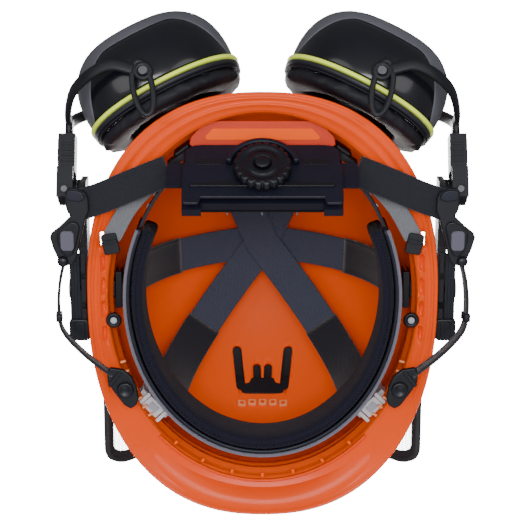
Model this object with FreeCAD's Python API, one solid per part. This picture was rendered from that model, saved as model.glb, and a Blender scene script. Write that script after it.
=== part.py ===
import FreeCAD, Part
import math
import os

from FreeCAD import Vector as V

# Forestry helmet set. Millimetres, +Z up through the crown, front (peak) toward -Y,
# wearer's left toward +X. The origin is the middle of the head opening, at the rim plane.

os.makedirs("parts", exist_ok=True)
parts = {}
X, Y, Z, O = V(1, 0, 0), V(0, 1, 0), V(0, 0, 1), V(0, 0, 0)

# ---- driving dimensions -------------------------------------------------------------
shell_wall = 3.0            # wall of the helmet shell
dome_half_width = 104.0     # outside, at the rim
dome_half_length = 127.0
wall_height = 34.0          # the sides rise straight to here, then round over
dome_height = 142.0
dome_centre_y = -2.0
rim_half_width = 114.7      # outside of the flange
rim_rear = 136.0
peak_tip = -147.5
peak_drop = 12.0            # the peak tip sits this far under the rim plane
vent_slots = ((17, 3.2, 124), (6, 2.4, 111))   # across, half width, top height
vent_bottom = 99.0

band_half_width = 89.0      # outside of the headband
band_half_length = 107.0
band_centre_y = 1.0
band_bottom, band_top = -7.0, 27.0
band_wall = 2.0
pad_wall = 8.0              # sweatband pad

strap_width = 22.0          # harness webbing
strap_wall = 1.4

nape_centre = V(0, 83, -12)
nape_width, nape_height = 101.0, 44.0
nape_tilt = 37.0            # the plate leans so that its foot is forward

bracket_x = 114.0           # inner face of the side bracket
screw_radius, screw_y, screw_z = 1.8, -17.0, 12.0
visor_pivot = V(0, 0, 25)
visor_radius = 151.0        # wire mesh, about the visor pivot
visor_half_width = 118.0

knuckle = V(128, 68, 14)    # muff arm pivot, left side
arm_rise = 25.0             # the parked arm points back and up by this angle
cup_turn = 28.0             # the parked cup faces this far out of straight back
cup_long, cup_short, cup_deep = 52.5, 43.0, 51.0
cup_x, cup_along = 64.0, 63.5   # middle of the neon ring, in the arm's own plane


# ---- helpers ------------------------------------------------------------------------
def keep(name, shape):
    """Store a node and stop on a broken solid."""
    if not shape.isValid() or shape.Volume <= 0:
        raise ValueError(name + " is not a sound solid")
    parts[name] = shape


def box(x0, x1, y0, y1, z0, z1):
    return Part.makeBox(x1 - x0, y1 - y0, z1 - z0, V(x0, y0, z0))


def rod(radius, length, base, axis):
    return Part.makeCylinder(radius, length, base, axis)


def ellipse_wire(a, b, centre, z):
    """Closed ellipse with half axes a along X and b along Y, at height z."""
    if a >= b:
        curve = Part.Ellipse(V(centre.x, centre.y, z), a, b)
    else:
        curve = Part.Ellipse(V(centre.x, centre.y + b, z), V(centre.x + a, centre.y, z),
                             V(centre.x, centre.y, z))
    return Part.Wire([curve.toShape()])


def ellipse_disc(a, b, centre, z0, z1):
    return Part.Face(ellipse_wire(a, b, centre, z0)).extrude(V(0, 0, z1 - z0))


def ellipse_ring(a, b, wall, centre, z0, z1):
    outer = ellipse_disc(a, b, centre, z0, z1)
    return outer.cut(ellipse_disc(a - wall, b - wall, centre, z0 - 1, z1 + 1))


def ellipsoid(a, b, c, centre):
    """Solid ellipsoid about a centre."""
    grow = FreeCAD.Matrix(a, 0, 0, centre.x, 0, b, 0, centre.y, 0, 0, c, centre.z, 0, 0, 0, 1)
    return Part.makeSphere(1.0).transformGeometry(grow)


def strip(points, wide, thin, width, wall):
    """Band with a rectangular section at each point; wide and thin are directions,
    one for all points or a list with one for each."""
    wires = []
    for i, p in enumerate(points):
        w = wide[i] if isinstance(wide, list) else wide
        t = thin[i] if isinstance(thin, list) else thin
        w = V(w).normalize() * (width / 2)
        t = V(t).normalize() * (wall / 2)
        wires.append(Part.makePolygon([p - w - t, p + w - t, p + w + t, p - w + t, p - w - t]))
    band = Part.makeLoft(wires, True, True)
    if band.Volume < 0:
        band.reverse()
    return band


def bar(points, radius):
    """Round bar along straight runs, with a ball at each bend."""
    runs = [rod(radius, (b - a).Length, a, b - a) for a, b in zip(points, points[1:])]
    balls = [Part.makeSphere(radius, p) for p in points[1:-1]]
    return runs[0].fuse(runs[1:] + balls)


def flat(points, z0, z1):
    """Plate cut to an outline of (x, y) points."""
    corners = [V(x, y, z0) for x, y in points]
    return Part.Face(Part.makePolygon(corners + [corners[0]])).extrude(V(0, 0, z1 - z0))


def other_side(shape):
    return shape.mirror(O, X)


def pair(name, shape):
    """Keep identical left and right pieces in one node."""
    keep(name, Part.makeCompound([shape, other_side(shape)]))


def both(name, shape):
    """Keep a left-hand node and its mirrored right-hand twin."""
    keep(name + "_left", shape)
    keep(name + "_right", other_side(shape))


# ---- shell --------------------------------------------------------------------------
def rim_point(angle, grow=0.0):
    """Point of the flange outline: fuller than an ellipse, longer at the peak."""
    reach = rim_rear if math.sin(angle) > 0 else -peak_tip
    fullness = 2.0 / 2.35
    c, s = math.cos(angle), math.sin(angle)
    x = (rim_half_width + grow) * math.copysign(abs(c) ** fullness, c)
    y = (reach + grow) * math.copysign(abs(s) ** fullness, s)
    forward = max(0.0, -y - 60.0) / (-peak_tip - 60.0)
    return V(x, y, -peak_drop * forward ** 2)


def closed_curve(points):
    curve = Part.BSplineCurve()
    curve.interpolate(points, PeriodicFlag=True)
    return Part.Wire([curve.toShape()])


def dome_solid(inset, z0):
    """Straight elliptical wall from z0 with a rounded crown on top."""
    centre = V(0, dome_centre_y, wall_height)
    a, b = dome_half_width - inset, dome_half_length - inset
    crown = ellipsoid(a, b, dome_height - wall_height - inset, centre)
    crown = crown.common(box(-200, 200, -200, 200, wall_height, 200))
    return crown.fuse(ellipse_disc(a, b, centre, z0, wall_height))


def shell():
    """Dome with a thin flange round it, the peak, and slots in the forehead."""
    dome, inner = dome_solid(0.0, 0.0), dome_solid(shell_wall, -20.0)
    angles = [2 * math.pi * (i + 0.5) / 40 for i in range(40)]
    lip = [rim_point(a) for a in angles]
    root = [V(p.x * 0.62, p.y * 0.62, 2.0) for p in lip]
    up = V(0, 0, 2.6)
    low_out, low_in = closed_curve(lip), closed_curve(root)
    top_out = closed_curve([p + up for p in lip])
    top_in = closed_curve([p + up for p in root])
    faces = [Part.makeRuledSurface(a, b).Faces for a, b in (
        (low_out, low_in), (top_out, top_in), (low_out, top_out), (low_in, top_in))]
    flange = Part.Solid(Part.Shell([f for group in faces for f in group]))
    if flange.Volume < 0:
        flange.reverse()
    body = dome.fuse(flange).cut(inner)
    for x, half, top in vent_slots:
        for side in (-1, 1):
            slot = box(side * x - half, side * x + half, -140, -60, vent_bottom, top)
            body = body.cut(slot)
    solids = sorted(body.Solids, key=lambda s: -s.Volume)
    return solids[0]


keep("helmet_shell", shell())


# ---- side brackets, slot adapters, screws ---------------------------------------------
def slot_adapter():
    """Block that fills the shell's side slot and holds the bracket."""
    block = box(104.4, bracket_x - 0.1, -22, 22, 4.2, 21)
    return block.cut(rod(screw_radius + 0.1, 12, V(103, screw_y, screw_z), X))


def side_bracket():
    """Upright carrier with a front block for the visor and a rear lug for the muff arm."""
    column = flat([(bracket_x, -29), (119.8, -29), (119.8, 60), (118, 77), (bracket_x, 77)], 5, 23)
    lug = rod(8.5, 6.0, V(bracket_x + 0.0, knuckle.y, knuckle.z), X)
    hub = rod(12, 5.0, V(bracket_x, visor_pivot.y, visor_pivot.z), X)
    pin = rod(4.0, 7.4, V(119, visor_pivot.y, visor_pivot.z), X)
    axle = rod(3.5, 14.6, V(118, knuckle.y, knuckle.z), X)
    body = column.fuse([lug, hub, pin, axle]).removeSplitter()
    return body.cut(rod(screw_radius + 0.1, 20, V(bracket_x - 1, screw_y, screw_z), X))


def bracket_screw():
    """Pan head screw through the bracket into the slot adapter."""
    shank = rod(screw_radius, 15, V(105, screw_y, screw_z), X)
    return shank.fuse(rod(3.6, 2.0, V(119.9, screw_y, screw_z), X))


both("slot_adapter", slot_adapter())
both("side_bracket", side_bracket())
pair("bracket_screws", bracket_screw())


# ---- harness -----------------------------------------------------------------------
hanger_angles = {"front": -44.0, "side": 1.0, "rear": 58.0}
hanger_reach = {"front": 100.0, "side": 96.0, "rear": 96.0}
strap_rear_angle = 66.0     # the diagonals end nearer the nape than their hangers do
strap_foot = 29.5           # height of the strap ends in the hangers


def arch(angle_from, angle_to, crown):
    """Strap in an arch from one hanger over the crown to another. The ends are plan
    angles; crown is the height of the middle."""
    ends = [V(88 * math.cos(math.radians(a)), 106 * math.sin(math.radians(a)), strap_foot)
            for a in (angle_from, angle_to)]
    middle, count, points, faces = V(0, 8, crown), 14, [], []
    run = V(ends[1].x - ends[0].x, ends[1].y - ends[0].y, 0)
    wide = run.cross(Z)
    for i in range(count + 1):
        u = -1 + 2 * i / count
        end = ends[1] if u > 0 else ends[0]
        t = abs(u) * math.pi / 2
        outward = math.sin(t)
        points.append(V(middle.x + (end.x - middle.x) * outward,
                        middle.y + (end.y - middle.y) * outward,
                        strap_foot + (crown - strap_foot) * math.cos(t)))
    for i in range(count + 1):
        along = points[min(i + 1, count)] - points[max(i - 1, 0)]
        faces.append(wide.cross(along))
    return strip(points, wide, faces, strap_width, strap_wall)


front, side = hanger_angles["front"], hanger_angles["side"]
keep("crown_strap_left_front", arch(front, 180 - strap_rear_angle, 117.0))
keep("crown_strap_right_front", arch(180 - front, strap_rear_angle, 114.6))
keep("crown_strap_side", arch(side, 180 - side, 119.4))


def hanger(angle, reach_x, reach_y=110.0):
    """Clip that hooks into the shell's inner ledge and holds a strap end."""
    a = math.radians(angle)
    foot = V(reach_x * math.cos(a), reach_y * math.sin(a), 0)
    body = box(-3.0, 1.5, -13, 13, 14, 28.5)
    hook = box(1.4, 4.0, -6, 6, 14, 33)
    clip = body.fuse(hook).cut(box(-1.6, 0.4, -11.5, 11.5, 18, 40))
    clip.rotate(O, Z, math.degrees(math.atan2(math.sin(a) / reach_y, math.cos(a) / reach_x)))
    clip.translate(foot)
    return clip


for place, angle in hanger_angles.items():
    pair("hanger_clips_" + place, hanger(angle, hanger_reach[place]))


# ---- headband ----------------------------------------------------------------------
band_centre = V(0, band_centre_y, 0)
band_end_y = 48.0           # the front band stops here on each side


def headband():
    ring = ellipse_ring(band_half_width, band_half_length, band_wall, band_centre,
                        band_bottom, band_top)
    return ring.cut(box(-200, 200, band_end_y, 200, -100, 100))


def sweatband():
    """Padded liner inside the front and temples of the headband."""
    gap = 0.3
    ring = ellipse_ring(band_half_width - band_wall - gap, band_half_length - band_wall - gap,
                        pad_wall, band_centre, band_bottom + 1, band_top - 1)
    return ring.cut(box(-200, 200, 44, 200, -100, 100))


def band_edge():
    """Soft rolled edge under the headband."""
    ring = ellipse_ring(band_half_width + 1.2, band_half_length + 1.2, 6.0, band_centre,
                        band_bottom - 3.2, band_bottom - 0.2)
    return ring.cut(box(-200, 200, band_end_y, 200, -100, 100))


keep("headband_front", headband())
keep("sweatband_pad", sweatband())
keep("headband_edge", band_edge())


def nape(point):
    """Place a shape from the nape unit's own frame: x across, y outward, z up the plate."""
    point.rotate(O, X, -nape_tilt)
    point.translate(nape_centre)
    return point


def side_arm():
    """Rear side arm of the headband, with a sleeve for the end of the sliding tail."""
    ring = ellipse_ring(band_half_width, band_half_length, band_wall, band_centre, 0, 13)
    arm = ring.common(box(50, 200, band_end_y + 0.3, 84, -10, 20))
    return max(arm.Solids, key=lambda s: s.Volume)


both("headband_side_arm", side_arm())

pinion_radius = 5.0


def nape_housing():
    """Inner half of the ratchet housing, with a channel for both racks."""
    half = nape_width / 2
    plate = box(-half, half, -5, 1.2, -nape_height / 2, nape_height / 2)
    rail = box(-half, half, 1.2, 5.0, 10.5, 14).fuse(box(-half, half, 1.2, 5.0, -14, -10.5))
    feet = box(-half, -half + 12, -5, 1.2, -nape_height / 2 - 5, -nape_height / 2)
    feet = feet.fuse(box(half - 12, half, -5, 1.2, -nape_height / 2 - 5, -nape_height / 2))
    post = rod(2.0, 12.5, V(0, 1.0, 0), Y)
    return nape(plate.fuse([rail, feet, post]).removeSplitter())


def nape_cover():
    """Outer shell of the ratchet housing, with a guard arc over the knob."""
    half = nape_width / 2
    plate = box(-half, half, 5.2, 7.4, -nape_height / 2, nape_height / 2)
    guard = rod(24, 6, V(0, 7.4, 0), Y).cut(rod(19.5, 8, V(0, 7, 0), Y))
    guard = guard.common(box(-30, 30, 0, 20, 4, 25.9))
    return nape(plate.fuse(guard).cut(rod(7.0, 10, V(0, 4, 0), Y)))


def ratchet_knob():
    """Knob with a fluted grip, and the neck that reaches through the cover."""
    grip = rod(18.4, 7.0, V(0, 8.0, 0), Y)
    for i in range(16):
        a = 2 * math.pi * i / 16
        grip = grip.cut(rod(1.5, 12, V(19.0 * math.cos(a), 7, 19.0 * math.sin(a)), Y))
    neck = rod(6.6, 3.2, V(0, 4.9, 0), Y)
    return nape(grip.fuse(neck).cut(rod(2.05, 20, V(0, 0, 0), Y)))


def pinion():
    """Small gear under the knob that drives both racks."""
    teeth, points = 10, []
    for i in range(teeth * 4):
        r = pinion_radius if i % 4 < 2 else pinion_radius - 1.4
        a = 2 * math.pi * i / (teeth * 4)
        points.append(V(r * math.cos(a), 1.5, r * math.sin(a)))
    gear = Part.Face(Part.makePolygon(points + [points[0]])).extrude(V(0, 3.3, 0))
    return nape(gear.cut(rod(2.05, 10, V(0, 0, 0), Y)))


def rack_tail(side):
    """Toothed tail; the left tail passes above the pinion and the right one below."""
    z0 = pinion_radius + 0.3
    tail = box(-6, nape_width / 2 + 10, 1.6, 3.4, z0, 10)
    grip = box(24, nape_width / 2 + 10, 1.6, 3.4, -9.8, 10)
    for i in range(9):
        tail = tail.cut(box(-4 + i * 3, -2.6 + i * 3, 1, 4, z0 - 1, z0 + 1.2))
    tail = tail.fuse(grip).removeSplitter()
    if side < 0:
        tail.rotate(O, Y, 180)
    return nape(tail)


keep("nape_housing", nape_housing())
keep("nape_cover", nape_cover())
keep("ratchet_knob", ratchet_knob())
keep("ratchet_pinion", pinion())
keep("rack_tail_left", rack_tail(1))
keep("rack_tail_right", rack_tail(-1))
keep("nape_pad", nape(box(-44, 44, -11, -5.2, -nape_height / 2, nape_height / 2)))
keep("knob_cap", nape(rod(5.0, 1.6, V(0, 15.3, 0), Y)))


# ---- chin strap --------------------------------------------------------------------
def rear_leg():
    """Wide webbing from the rear of the harness out under the rim."""
    points = [V(62, 86, -3), V(82, 78, -7), V(101, 70, -7.6), V(117, 63, -7.6)]
    return strip(points, V(0.55, 0.82, 0.0), V(0, 0, 1), 20.0, strap_wall)


def inner_webbing():
    """Light grey webbing from the nape side down and out under the rim."""
    points = [V(67, 79, 22), V(73, 72, 6), V(82, 60, -5), V(97, 42, -5)]
    wide = [V(0.5, 0.55, 0.7), V(0.5, 0.55, 0.6), V(0.7, 0.7, 0.1), V(0.8, 0.6, 0)]
    thin = [V(0.6, 0.3, -0.7), V(0.6, 0.3, -0.7), V(0.1, 0.1, -1), V(0, 0, -1)]
    return strip(points, wide, thin, 11.0, strap_wall)


def divider():
    """Moulded side divider that joins the rear and front legs."""
    outline = [(112, 70), (118, 76), (125, 76), (125, 62), (121.5, 58), (129, 51), (136, 45),
               (134, 36), (129, 25), (120, 27), (115, 42), (111, 60)]
    return flat(outline, -12.6, -8.5)


def front_leg():
    """Narrow webbing on edge, round the side bracket to the front anchor."""
    points = [V(127.6, 23, -13.0), V(132, 12, -12), V(133, -4, -12), V(130, -19, -12),
              V(114, -35, -12.5), V(97, -48, -13)]
    outward = [V(1, 0.15, 0), V(1, 0.1, 0), V(1, -0.1, 0), V(1, -0.4, 0), V(0.8, -1, 0),
               V(0.8, -1, 0)]
    return strip(points, V(0.15, 0, 1), outward, 9.0, 2.2)


def front_anchor():
    """Three-cornered plate that hooks on the rim, with a round button."""
    plate = flat([(98, -43), (100, -52), (88, -70), (81, -64), (84, -48)], -17, -13.2)
    button = rod(5.0, 3.2, V(89.5, -57, -20.1), Z)
    return plate.fuse(button)


both("chin_strap_rear", rear_leg())
both("inner_webbing", inner_webbing())
both("strap_divider", divider())
both("chin_strap_front", front_leg())
both("front_anchor", front_anchor())
for side in ("left", "right"):
    anchor = parts["front_anchor_" + side]
    parts["front_anchor_" + side] = anchor.cut(parts["chin_strap_front_" + side])


# ---- ear muffs ---------------------------------------------------------------------
rise = math.radians(arm_rise)
arm_along = V(0, math.cos(rise), math.sin(rise))
arm_up = V(0, -math.sin(rise), math.cos(rise))


def arm_point(x, along, up=0.0):
    """Point in the parked arm's plane: x across, along the arm, up out of the plane."""
    return V(x, knuckle.y, knuckle.z) + arm_along * along + arm_up * up


turn = math.radians(cup_turn)
cup_normal = X * math.sin(turn) + arm_along * math.cos(turn)
cup_side = arm_up.cross(cup_normal)      # along the cup, outward
cup_middle = arm_point(cup_x, cup_along)


def muff(shape):
    """Place a shape from the cup's own frame: x along the cup, y up, z out of the dome."""
    m = FreeCAD.Matrix(cup_side.x, arm_up.x, cup_normal.x, cup_middle.x,
                       cup_side.y, arm_up.y, cup_normal.y, cup_middle.y,
                       cup_side.z, arm_up.z, cup_normal.z, cup_middle.z, 0, 0, 0, 1)
    placed = shape.copy()
    placed.Placement = FreeCAD.Placement(m).multiply(placed.Placement)
    return placed


def cup_section(grow, z):
    return ellipse_wire(cup_long + grow, cup_short + grow, O, z)


def cup_wall():
    """Side wall of the cup, open toward the ear."""
    outer = Part.makeLoft([cup_section(g, z) for g, z in
                           ((-1.5, 1.8), (0, 8), (-1.5, 22), (-6.0, 35))], True, False)
    inner = Part.makeLoft([cup_section(g - 3, z) for g, z in
                           ((-1.5, 1.7), (0, 8), (-1.5, 22), (-4.5, 32.5))], True, False)
    return muff(outer.cut(inner)).cut(pivot_pins())


def cup_cap():
    """Outer cap over the cup's end, with a rounded rim."""
    cap = Part.makeLoft([cup_section(g, z) for g, z in
                         ((-5.6, 35.2), (-7.0, 40), (-13.0, 46), (-27, cup_deep))], True, False)
    return muff(cap)


def cup_ring(grow, wall, z0, z1):
    return muff(ellipse_ring(cup_long + grow, cup_short + grow, wall, O, z0, z1))


pivot_cup = V(-8, 0, 9)    # cup pivot in the cup's own frame
pivot_x = cup_middle.x + (cup_side * pivot_cup.x + cup_normal * pivot_cup.z).x
pivot_along = cup_along + (cup_side * pivot_cup.x + cup_normal * pivot_cup.z).dot(arm_along)
tine_up = cup_short + 5.0


def pivot_pins():
    """Two pins that stick out of the cup's long sides into the tines."""
    pins = [rod(2.8, 9.5, V(pivot_cup.x, s * (cup_short - 2.5), pivot_cup.z), V(0, s, 0))
            for s in (1, -1)]
    return muff(Part.makeCompound(pins))


def arm_box(x0, x1, along0, along1, up0, up1):
    """Block in the arm's frame."""
    block = box(x0, x1, along0, along1, up0, up1)
    block.rotate(O, X, arm_rise)
    block.translate(V(0, knuckle.y, knuckle.z))
    return block


def knuckle_block():
    """Turning block on the bracket axle, with two pins for the swing block."""
    block = rod(8.5, 11.5, V(120.4, knuckle.y, knuckle.z), X)
    pins = [rod(3.0, 11.3, knuckle, arm_up * s) for s in (1, -1)]
    return block.fuse(pins).cut(rod(3.56, 30, V(110, knuckle.y, knuckle.z), X))


def swing_block():
    """Spring loaded socket that swings on the knuckle and guides the fork stem."""
    socket = arm_box(122, 133, 13, 38, -7, 7).fuse(arm_box(122.5, 133, 12.9, 15, -11.5, 11.5))
    for s in (1, -1):
        low, high = sorted((s * 9.0, s * 11.5))
        socket = socket.fuse(arm_box(122.5, 133, -5, 14, low, high))
        socket = socket.cut(rod(3.08, 6, knuckle + arm_up * s * 8, arm_up * s))
    return socket.cut(arm_box(124, 129.3, 16, 60, -4.6, 4.6))


def fork():
    """Stem and two tines that end in oval plates beside the cup."""
    stem = arm_box(124.2, 129.1, 17, 50, -4.4, 4.4)
    pieces = [stem]
    for s in (1, -1):
        path = [arm_point(126.6, 46, 2.0 * s), arm_point(126.2, 52, s * 13),
                arm_point(121, 60, s * 30), arm_point(110, 67, s * 43),
                arm_point(96, 71.5, s * tine_up), arm_point(pivot_x + 6, pivot_along, s * tine_up)]
        pieces.append(bar(path, 3.0))
        ring = Part.Face(ellipse_wire(9.5, 17, V(0, 0, 0), -1.8)).extrude(V(0, 0, 3.6))
        ring = ring.cut(rod(2.9, 9, V(0, 9.5, -4), Z))
        ring.rotate(O, X, arm_rise)
        ring.translate(arm_point(pivot_x, pivot_along - 9.5, s * tine_up))
        pieces.append(ring)
    return pieces[0].fuse(pieces[1:])


both("muff_knuckle", knuckle_block())
both("muff_swing_block", swing_block())
both("muff_fork", fork())
both("muff_cup_wall", cup_wall())
both("muff_cup_cap", cup_cap())
both("muff_neon_ring", cup_ring(2.0, 8.0, -1.5, 1.5))
both("muff_back_plate", cup_ring(0.0, 14.0, -5.5, -1.8))
both("muff_cushion", cup_ring(-1.5, 20.0, -14.0, -5.8))
both("muff_foam", muff(ellipse_disc(38, 29, O, 2.0, 21.0)))
both("muff_pivot_pins", pivot_pins())


# ---- visor -------------------------------------------------------------------------
def visor_arc(x, radius):
    """Height of the raised wire mesh above the visor pivot, at a distance from the middle."""
    bend = 132.0
    return radius - bend + math.sqrt(bend * bend - x * x)


def visor_band(y0, y1, radius, wall, half):
    """Curved sheet between two fore and aft places."""
    count, top, low = 16, [], []
    for i in range(count + 1):
        x = -half + 2 * half * i / count
        top.append(V(x, y0, visor_pivot.z + visor_arc(x, radius + wall / 2)))
        low.append(V(x, y0, visor_pivot.z + visor_arc(x, radius - wall / 2)))
    edge = Part.makePolygon(top + low[::-1] + [top[0]])
    return Part.Face(edge).extrude(V(0, y1 - y0, 0))


visor_back, visor_front = 8.0, -165.0


def visor_frame():
    """Rubber edged frame round the wire mesh."""
    half, edge = visor_half_width, 9.0
    outer = visor_band(visor_back, visor_front, visor_radius, 5.0, half)
    window = visor_band(visor_back - edge, visor_front + edge, visor_radius, 9.0, half - edge)
    slot = visor_band(visor_back - 4, visor_front + 4, visor_radius, 1.4, half - 4)
    return outer.cut(window).cut(slot)


def visor_arm():
    """Side arm from the pivot up to the frame's rear corner."""
    top_z = visor_pivot.z + visor_arc(visor_half_width, visor_radius)
    disc = rod(13, 3.4, V(120.1, visor_pivot.y, visor_pivot.z), X)
    disc = disc.cut(rod(4.1, 20, V(110, visor_pivot.y, visor_pivot.z), X))
    path = [V(121.8, 0, visor_pivot.z + 9), V(121.4, 0, visor_pivot.z + 40),
            V(121.2, -3, top_z - 12), V(120.6, -6, top_z + 8)]
    return disc.fuse(strip(path, Y, X, 15.0, 3.4))


keep("visor_frame", visor_frame())
keep("visor_mesh", visor_band(visor_back - 4.2, visor_front + 4.2, visor_radius, 0.8,
                              visor_half_width - 4.4))
both("visor_arm", visor_arm())
pair("visor_hub_caps", rod(6.5, 2.2, V(126.6, visor_pivot.y, visor_pivot.z), X))

for name, shape in parts.items():
    shape.exportStep("parts/" + name + ".step")
    print(name, len(shape.Solids), round(shape.Volume), [round(v) for v in (
        shape.BoundBox.XMin, shape.BoundBox.XMax, shape.BoundBox.YMin, shape.BoundBox.YMax,
        shape.BoundBox.ZMin, shape.BoundBox.ZMax)])
print(len(parts), "nodes")
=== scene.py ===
import math
import random

import bmesh
import bpy
from mathutils import Matrix, Vector


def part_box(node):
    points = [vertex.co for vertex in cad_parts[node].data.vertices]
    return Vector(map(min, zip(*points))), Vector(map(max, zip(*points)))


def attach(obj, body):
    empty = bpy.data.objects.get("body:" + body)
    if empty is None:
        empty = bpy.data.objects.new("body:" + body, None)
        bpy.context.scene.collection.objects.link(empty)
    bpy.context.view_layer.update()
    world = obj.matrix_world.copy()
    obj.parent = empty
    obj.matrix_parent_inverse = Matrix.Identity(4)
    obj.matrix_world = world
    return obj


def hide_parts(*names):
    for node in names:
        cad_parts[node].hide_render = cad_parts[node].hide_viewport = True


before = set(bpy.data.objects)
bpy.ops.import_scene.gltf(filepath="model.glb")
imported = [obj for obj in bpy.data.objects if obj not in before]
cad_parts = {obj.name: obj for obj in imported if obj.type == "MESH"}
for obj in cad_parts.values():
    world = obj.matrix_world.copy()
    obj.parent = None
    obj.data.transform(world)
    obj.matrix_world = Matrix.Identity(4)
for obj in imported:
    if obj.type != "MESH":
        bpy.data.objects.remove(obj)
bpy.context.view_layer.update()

# Forestry helmet set, seen from below with the visor up and the muffs parked behind.
# Metres, +Z up through the crown, peak toward -Y, wearer's left toward +X.

MM = 0.001
SIDES = (("left", 1), ("right", -1))
UP = Vector((0, 0, 1))


def mm(x, y, z):
    """Point from millimetres."""
    return Vector((x, y, z)) * MM


def shift(x, y, z):
    """Translation in millimetres."""
    return Matrix.Translation((x * MM, y * MM, z * MM))


def spin(degrees, axis):
    """Rotation about an axis."""
    return Matrix.Rotation(math.radians(degrees), 4, axis)


def frame_at(place, x_axis, y_axis, z_axis):
    """Matrix with its origin at a point and its axes along three directions."""
    return Matrix.Translation(place) @ Matrix((x_axis, y_axis, z_axis)).transposed().to_4x4()


def ring_frame(angle, reach_x, reach_y, middle_y, z):
    """Frame on an oval in plan, in millimetres: X outward, Y round it, Z up."""
    c, s = math.cos(math.radians(angle)), math.sin(math.radians(angle))
    out = Vector((c / reach_x, s / reach_y, 0)).normalized()
    return frame_at(mm(reach_x * c, middle_y + reach_y * s, z), out, UP.cross(out), UP)


# ---- materials ----------------------------------------------------------------------
def new_material(name, colour, rough, metal=0.0, coat=0.0, coat_rough=0.05, specular=0.5):
    """Principled material; returns it with its node tree and shader."""
    mat = bpy.data.materials.new(name)
    mat.use_nodes = True
    tree = mat.node_tree
    shader = tree.nodes["Principled BSDF"]
    shader.inputs["Base Color"].default_value = (*colour, 1)
    shader.inputs["Roughness"].default_value = rough
    shader.inputs["Metallic"].default_value = metal
    shader.inputs["Coat Weight"].default_value = coat
    shader.inputs["Coat Roughness"].default_value = coat_rough
    shader.inputs["Specular IOR Level"].default_value = specular
    return mat, tree, shader


def link(tree, source, output, target, entry):
    """Join a node's output to another node's input."""
    tree.links.new(source.outputs[output], target.inputs[entry])


def add_node(tree, kind, **values):
    """New node with the given input sockets set."""
    node = tree.nodes.new(kind)
    for key, value in values.items():
        node.inputs[key.replace("_", " ")].default_value = value
    return node


def noise(tree, scale, detail=4.0, roughness=0.6):
    """Noise in the piece's own coordinates."""
    node = add_node(tree, "ShaderNodeTexNoise", Scale=scale, Detail=detail, Roughness=roughness)
    link(tree, tree.nodes.new("ShaderNodeTexCoord"), "Object", node, "Vector")
    return node


def cells(tree, scale):
    """Small rounded cells in the piece's own coordinates."""
    node = add_node(tree, "ShaderNodeTexVoronoi", Scale=scale)
    link(tree, tree.nodes.new("ShaderNodeTexCoord"), "Object", node, "Vector")
    return node


def turned_uv(tree, source, angle, scale=1):
    """Texture coordinates turned about Z."""
    place = add_node(tree, "ShaderNodeMapping", Rotation=(0, 0, angle), Scale=(scale, scale, scale))
    link(tree, source, "UV", place, "Vector")
    return place


def combine(tree, operation, first, second):
    """Math node over two (node, output) pairs."""
    node = tree.nodes.new("ShaderNodeMath")
    node.operation = operation
    link(tree, *first, node, 0)
    link(tree, *second, node, 1)
    return node


def tint(tree, shader, source, output, stops):
    """Colour ramp from a grey source into the base colour."""
    ramp = tree.nodes.new("ShaderNodeValToRGB")
    for end in (0, -1):
        ramp.color_ramp.elements[end].position = stops[end][0]
        ramp.color_ramp.elements[end].color = (*stops[end][1], 1)
    for place, colour in stops[1:-1]:
        ramp.color_ramp.elements.new(place).color = (*colour, 1)
    link(tree, source, output, ramp, "Fac")
    link(tree, ramp, "Color", shader, "Base Color")


def rough_range(tree, shader, source, low, high):
    """Roughness that follows a noise between two limits."""
    span = add_node(tree, "ShaderNodeMapRange", To_Min=low, To_Max=high)
    link(tree, source, "Fac", span, "Value")
    link(tree, span, "Result", shader, "Roughness")


def add_bump(tree, shader, source, output, strength, distance, below=None):
    """Relief from a grey source, on top of another relief if one is given."""
    bump = add_node(tree, "ShaderNodeBump", Strength=strength, Distance=distance)
    link(tree, source, output, bump, "Height")
    if below:
        link(tree, below, "Normal", bump, "Normal")
    link(tree, bump, "Normal", shader, "Normal")
    return bump


def shade(colour, factor):
    """Lighter or darker version of a colour."""
    return tuple(min(1.0, c * factor) for c in colour)


def moulded(name, colour, rough, grain=900.0, depth=0.00008, coat=0.0, spread=0.18):
    """Injection moulded plastic: fine spark grain, faint flow marks and handling wear."""
    mat, tree, shader = new_material(name, colour, rough, coat=coat, specular=0.3)
    tint(tree, shader, noise(tree, 14.0, 5.0), "Fac",
         [(0.3, shade(colour, 1 - spread)), (0.75, shade(colour, 1 + spread))])
    rough_range(tree, shader, noise(tree, 55.0, 6.0), rough * 0.8, min(1, rough * 1.3))
    add_bump(tree, shader, noise(tree, grain, 2.0), "Fac", 0.35, depth)
    return mat


def woven(name, colour, light, pitch=0.0011, turn=0.0, sheen=0.3):
    """Webbing: herringbone of ribs, with thread by thread colour changes and painted shade in the grooves
    between the ribs.
    """
    mat, tree, shader = new_material(name, colour, 0.82, specular=0.25)
    shader.inputs["Sheen Weight"].default_value = sheen
    shader.inputs["Sheen Roughness"].default_value = 0.5
    uv = tree.nodes.new("ShaderNodeUVMap")
    ribs = []
    for angle in (38, -38):
        wave = add_node(tree, "ShaderNodeTexWave", Scale=3.4 / pitch / math.pi * 0.32, Distortion=0.6,
                        Detail=1.0)
        link(tree, turned_uv(tree, uv, math.radians(angle) + turn), "Vector", wave, "Vector")
        ribs.append((wave, "Fac"))
    weave = combine(tree, "MAXIMUM", *ribs)
    mixed = combine(tree, "MULTIPLY", (weave, "Value"), (noise(tree, 2600.0, 2.0), "Fac"))
    # colour follows the rib relief as well as the threads: painted shade in the grooves
    tint(tree, shader, mixed, "Value", [(0.1, shade(colour, 0.75)), (0.4, colour), (0.8, light)])
    add_bump(tree, shader, weave, "Value", 0.6, 0.0003)
    return mat


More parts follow.
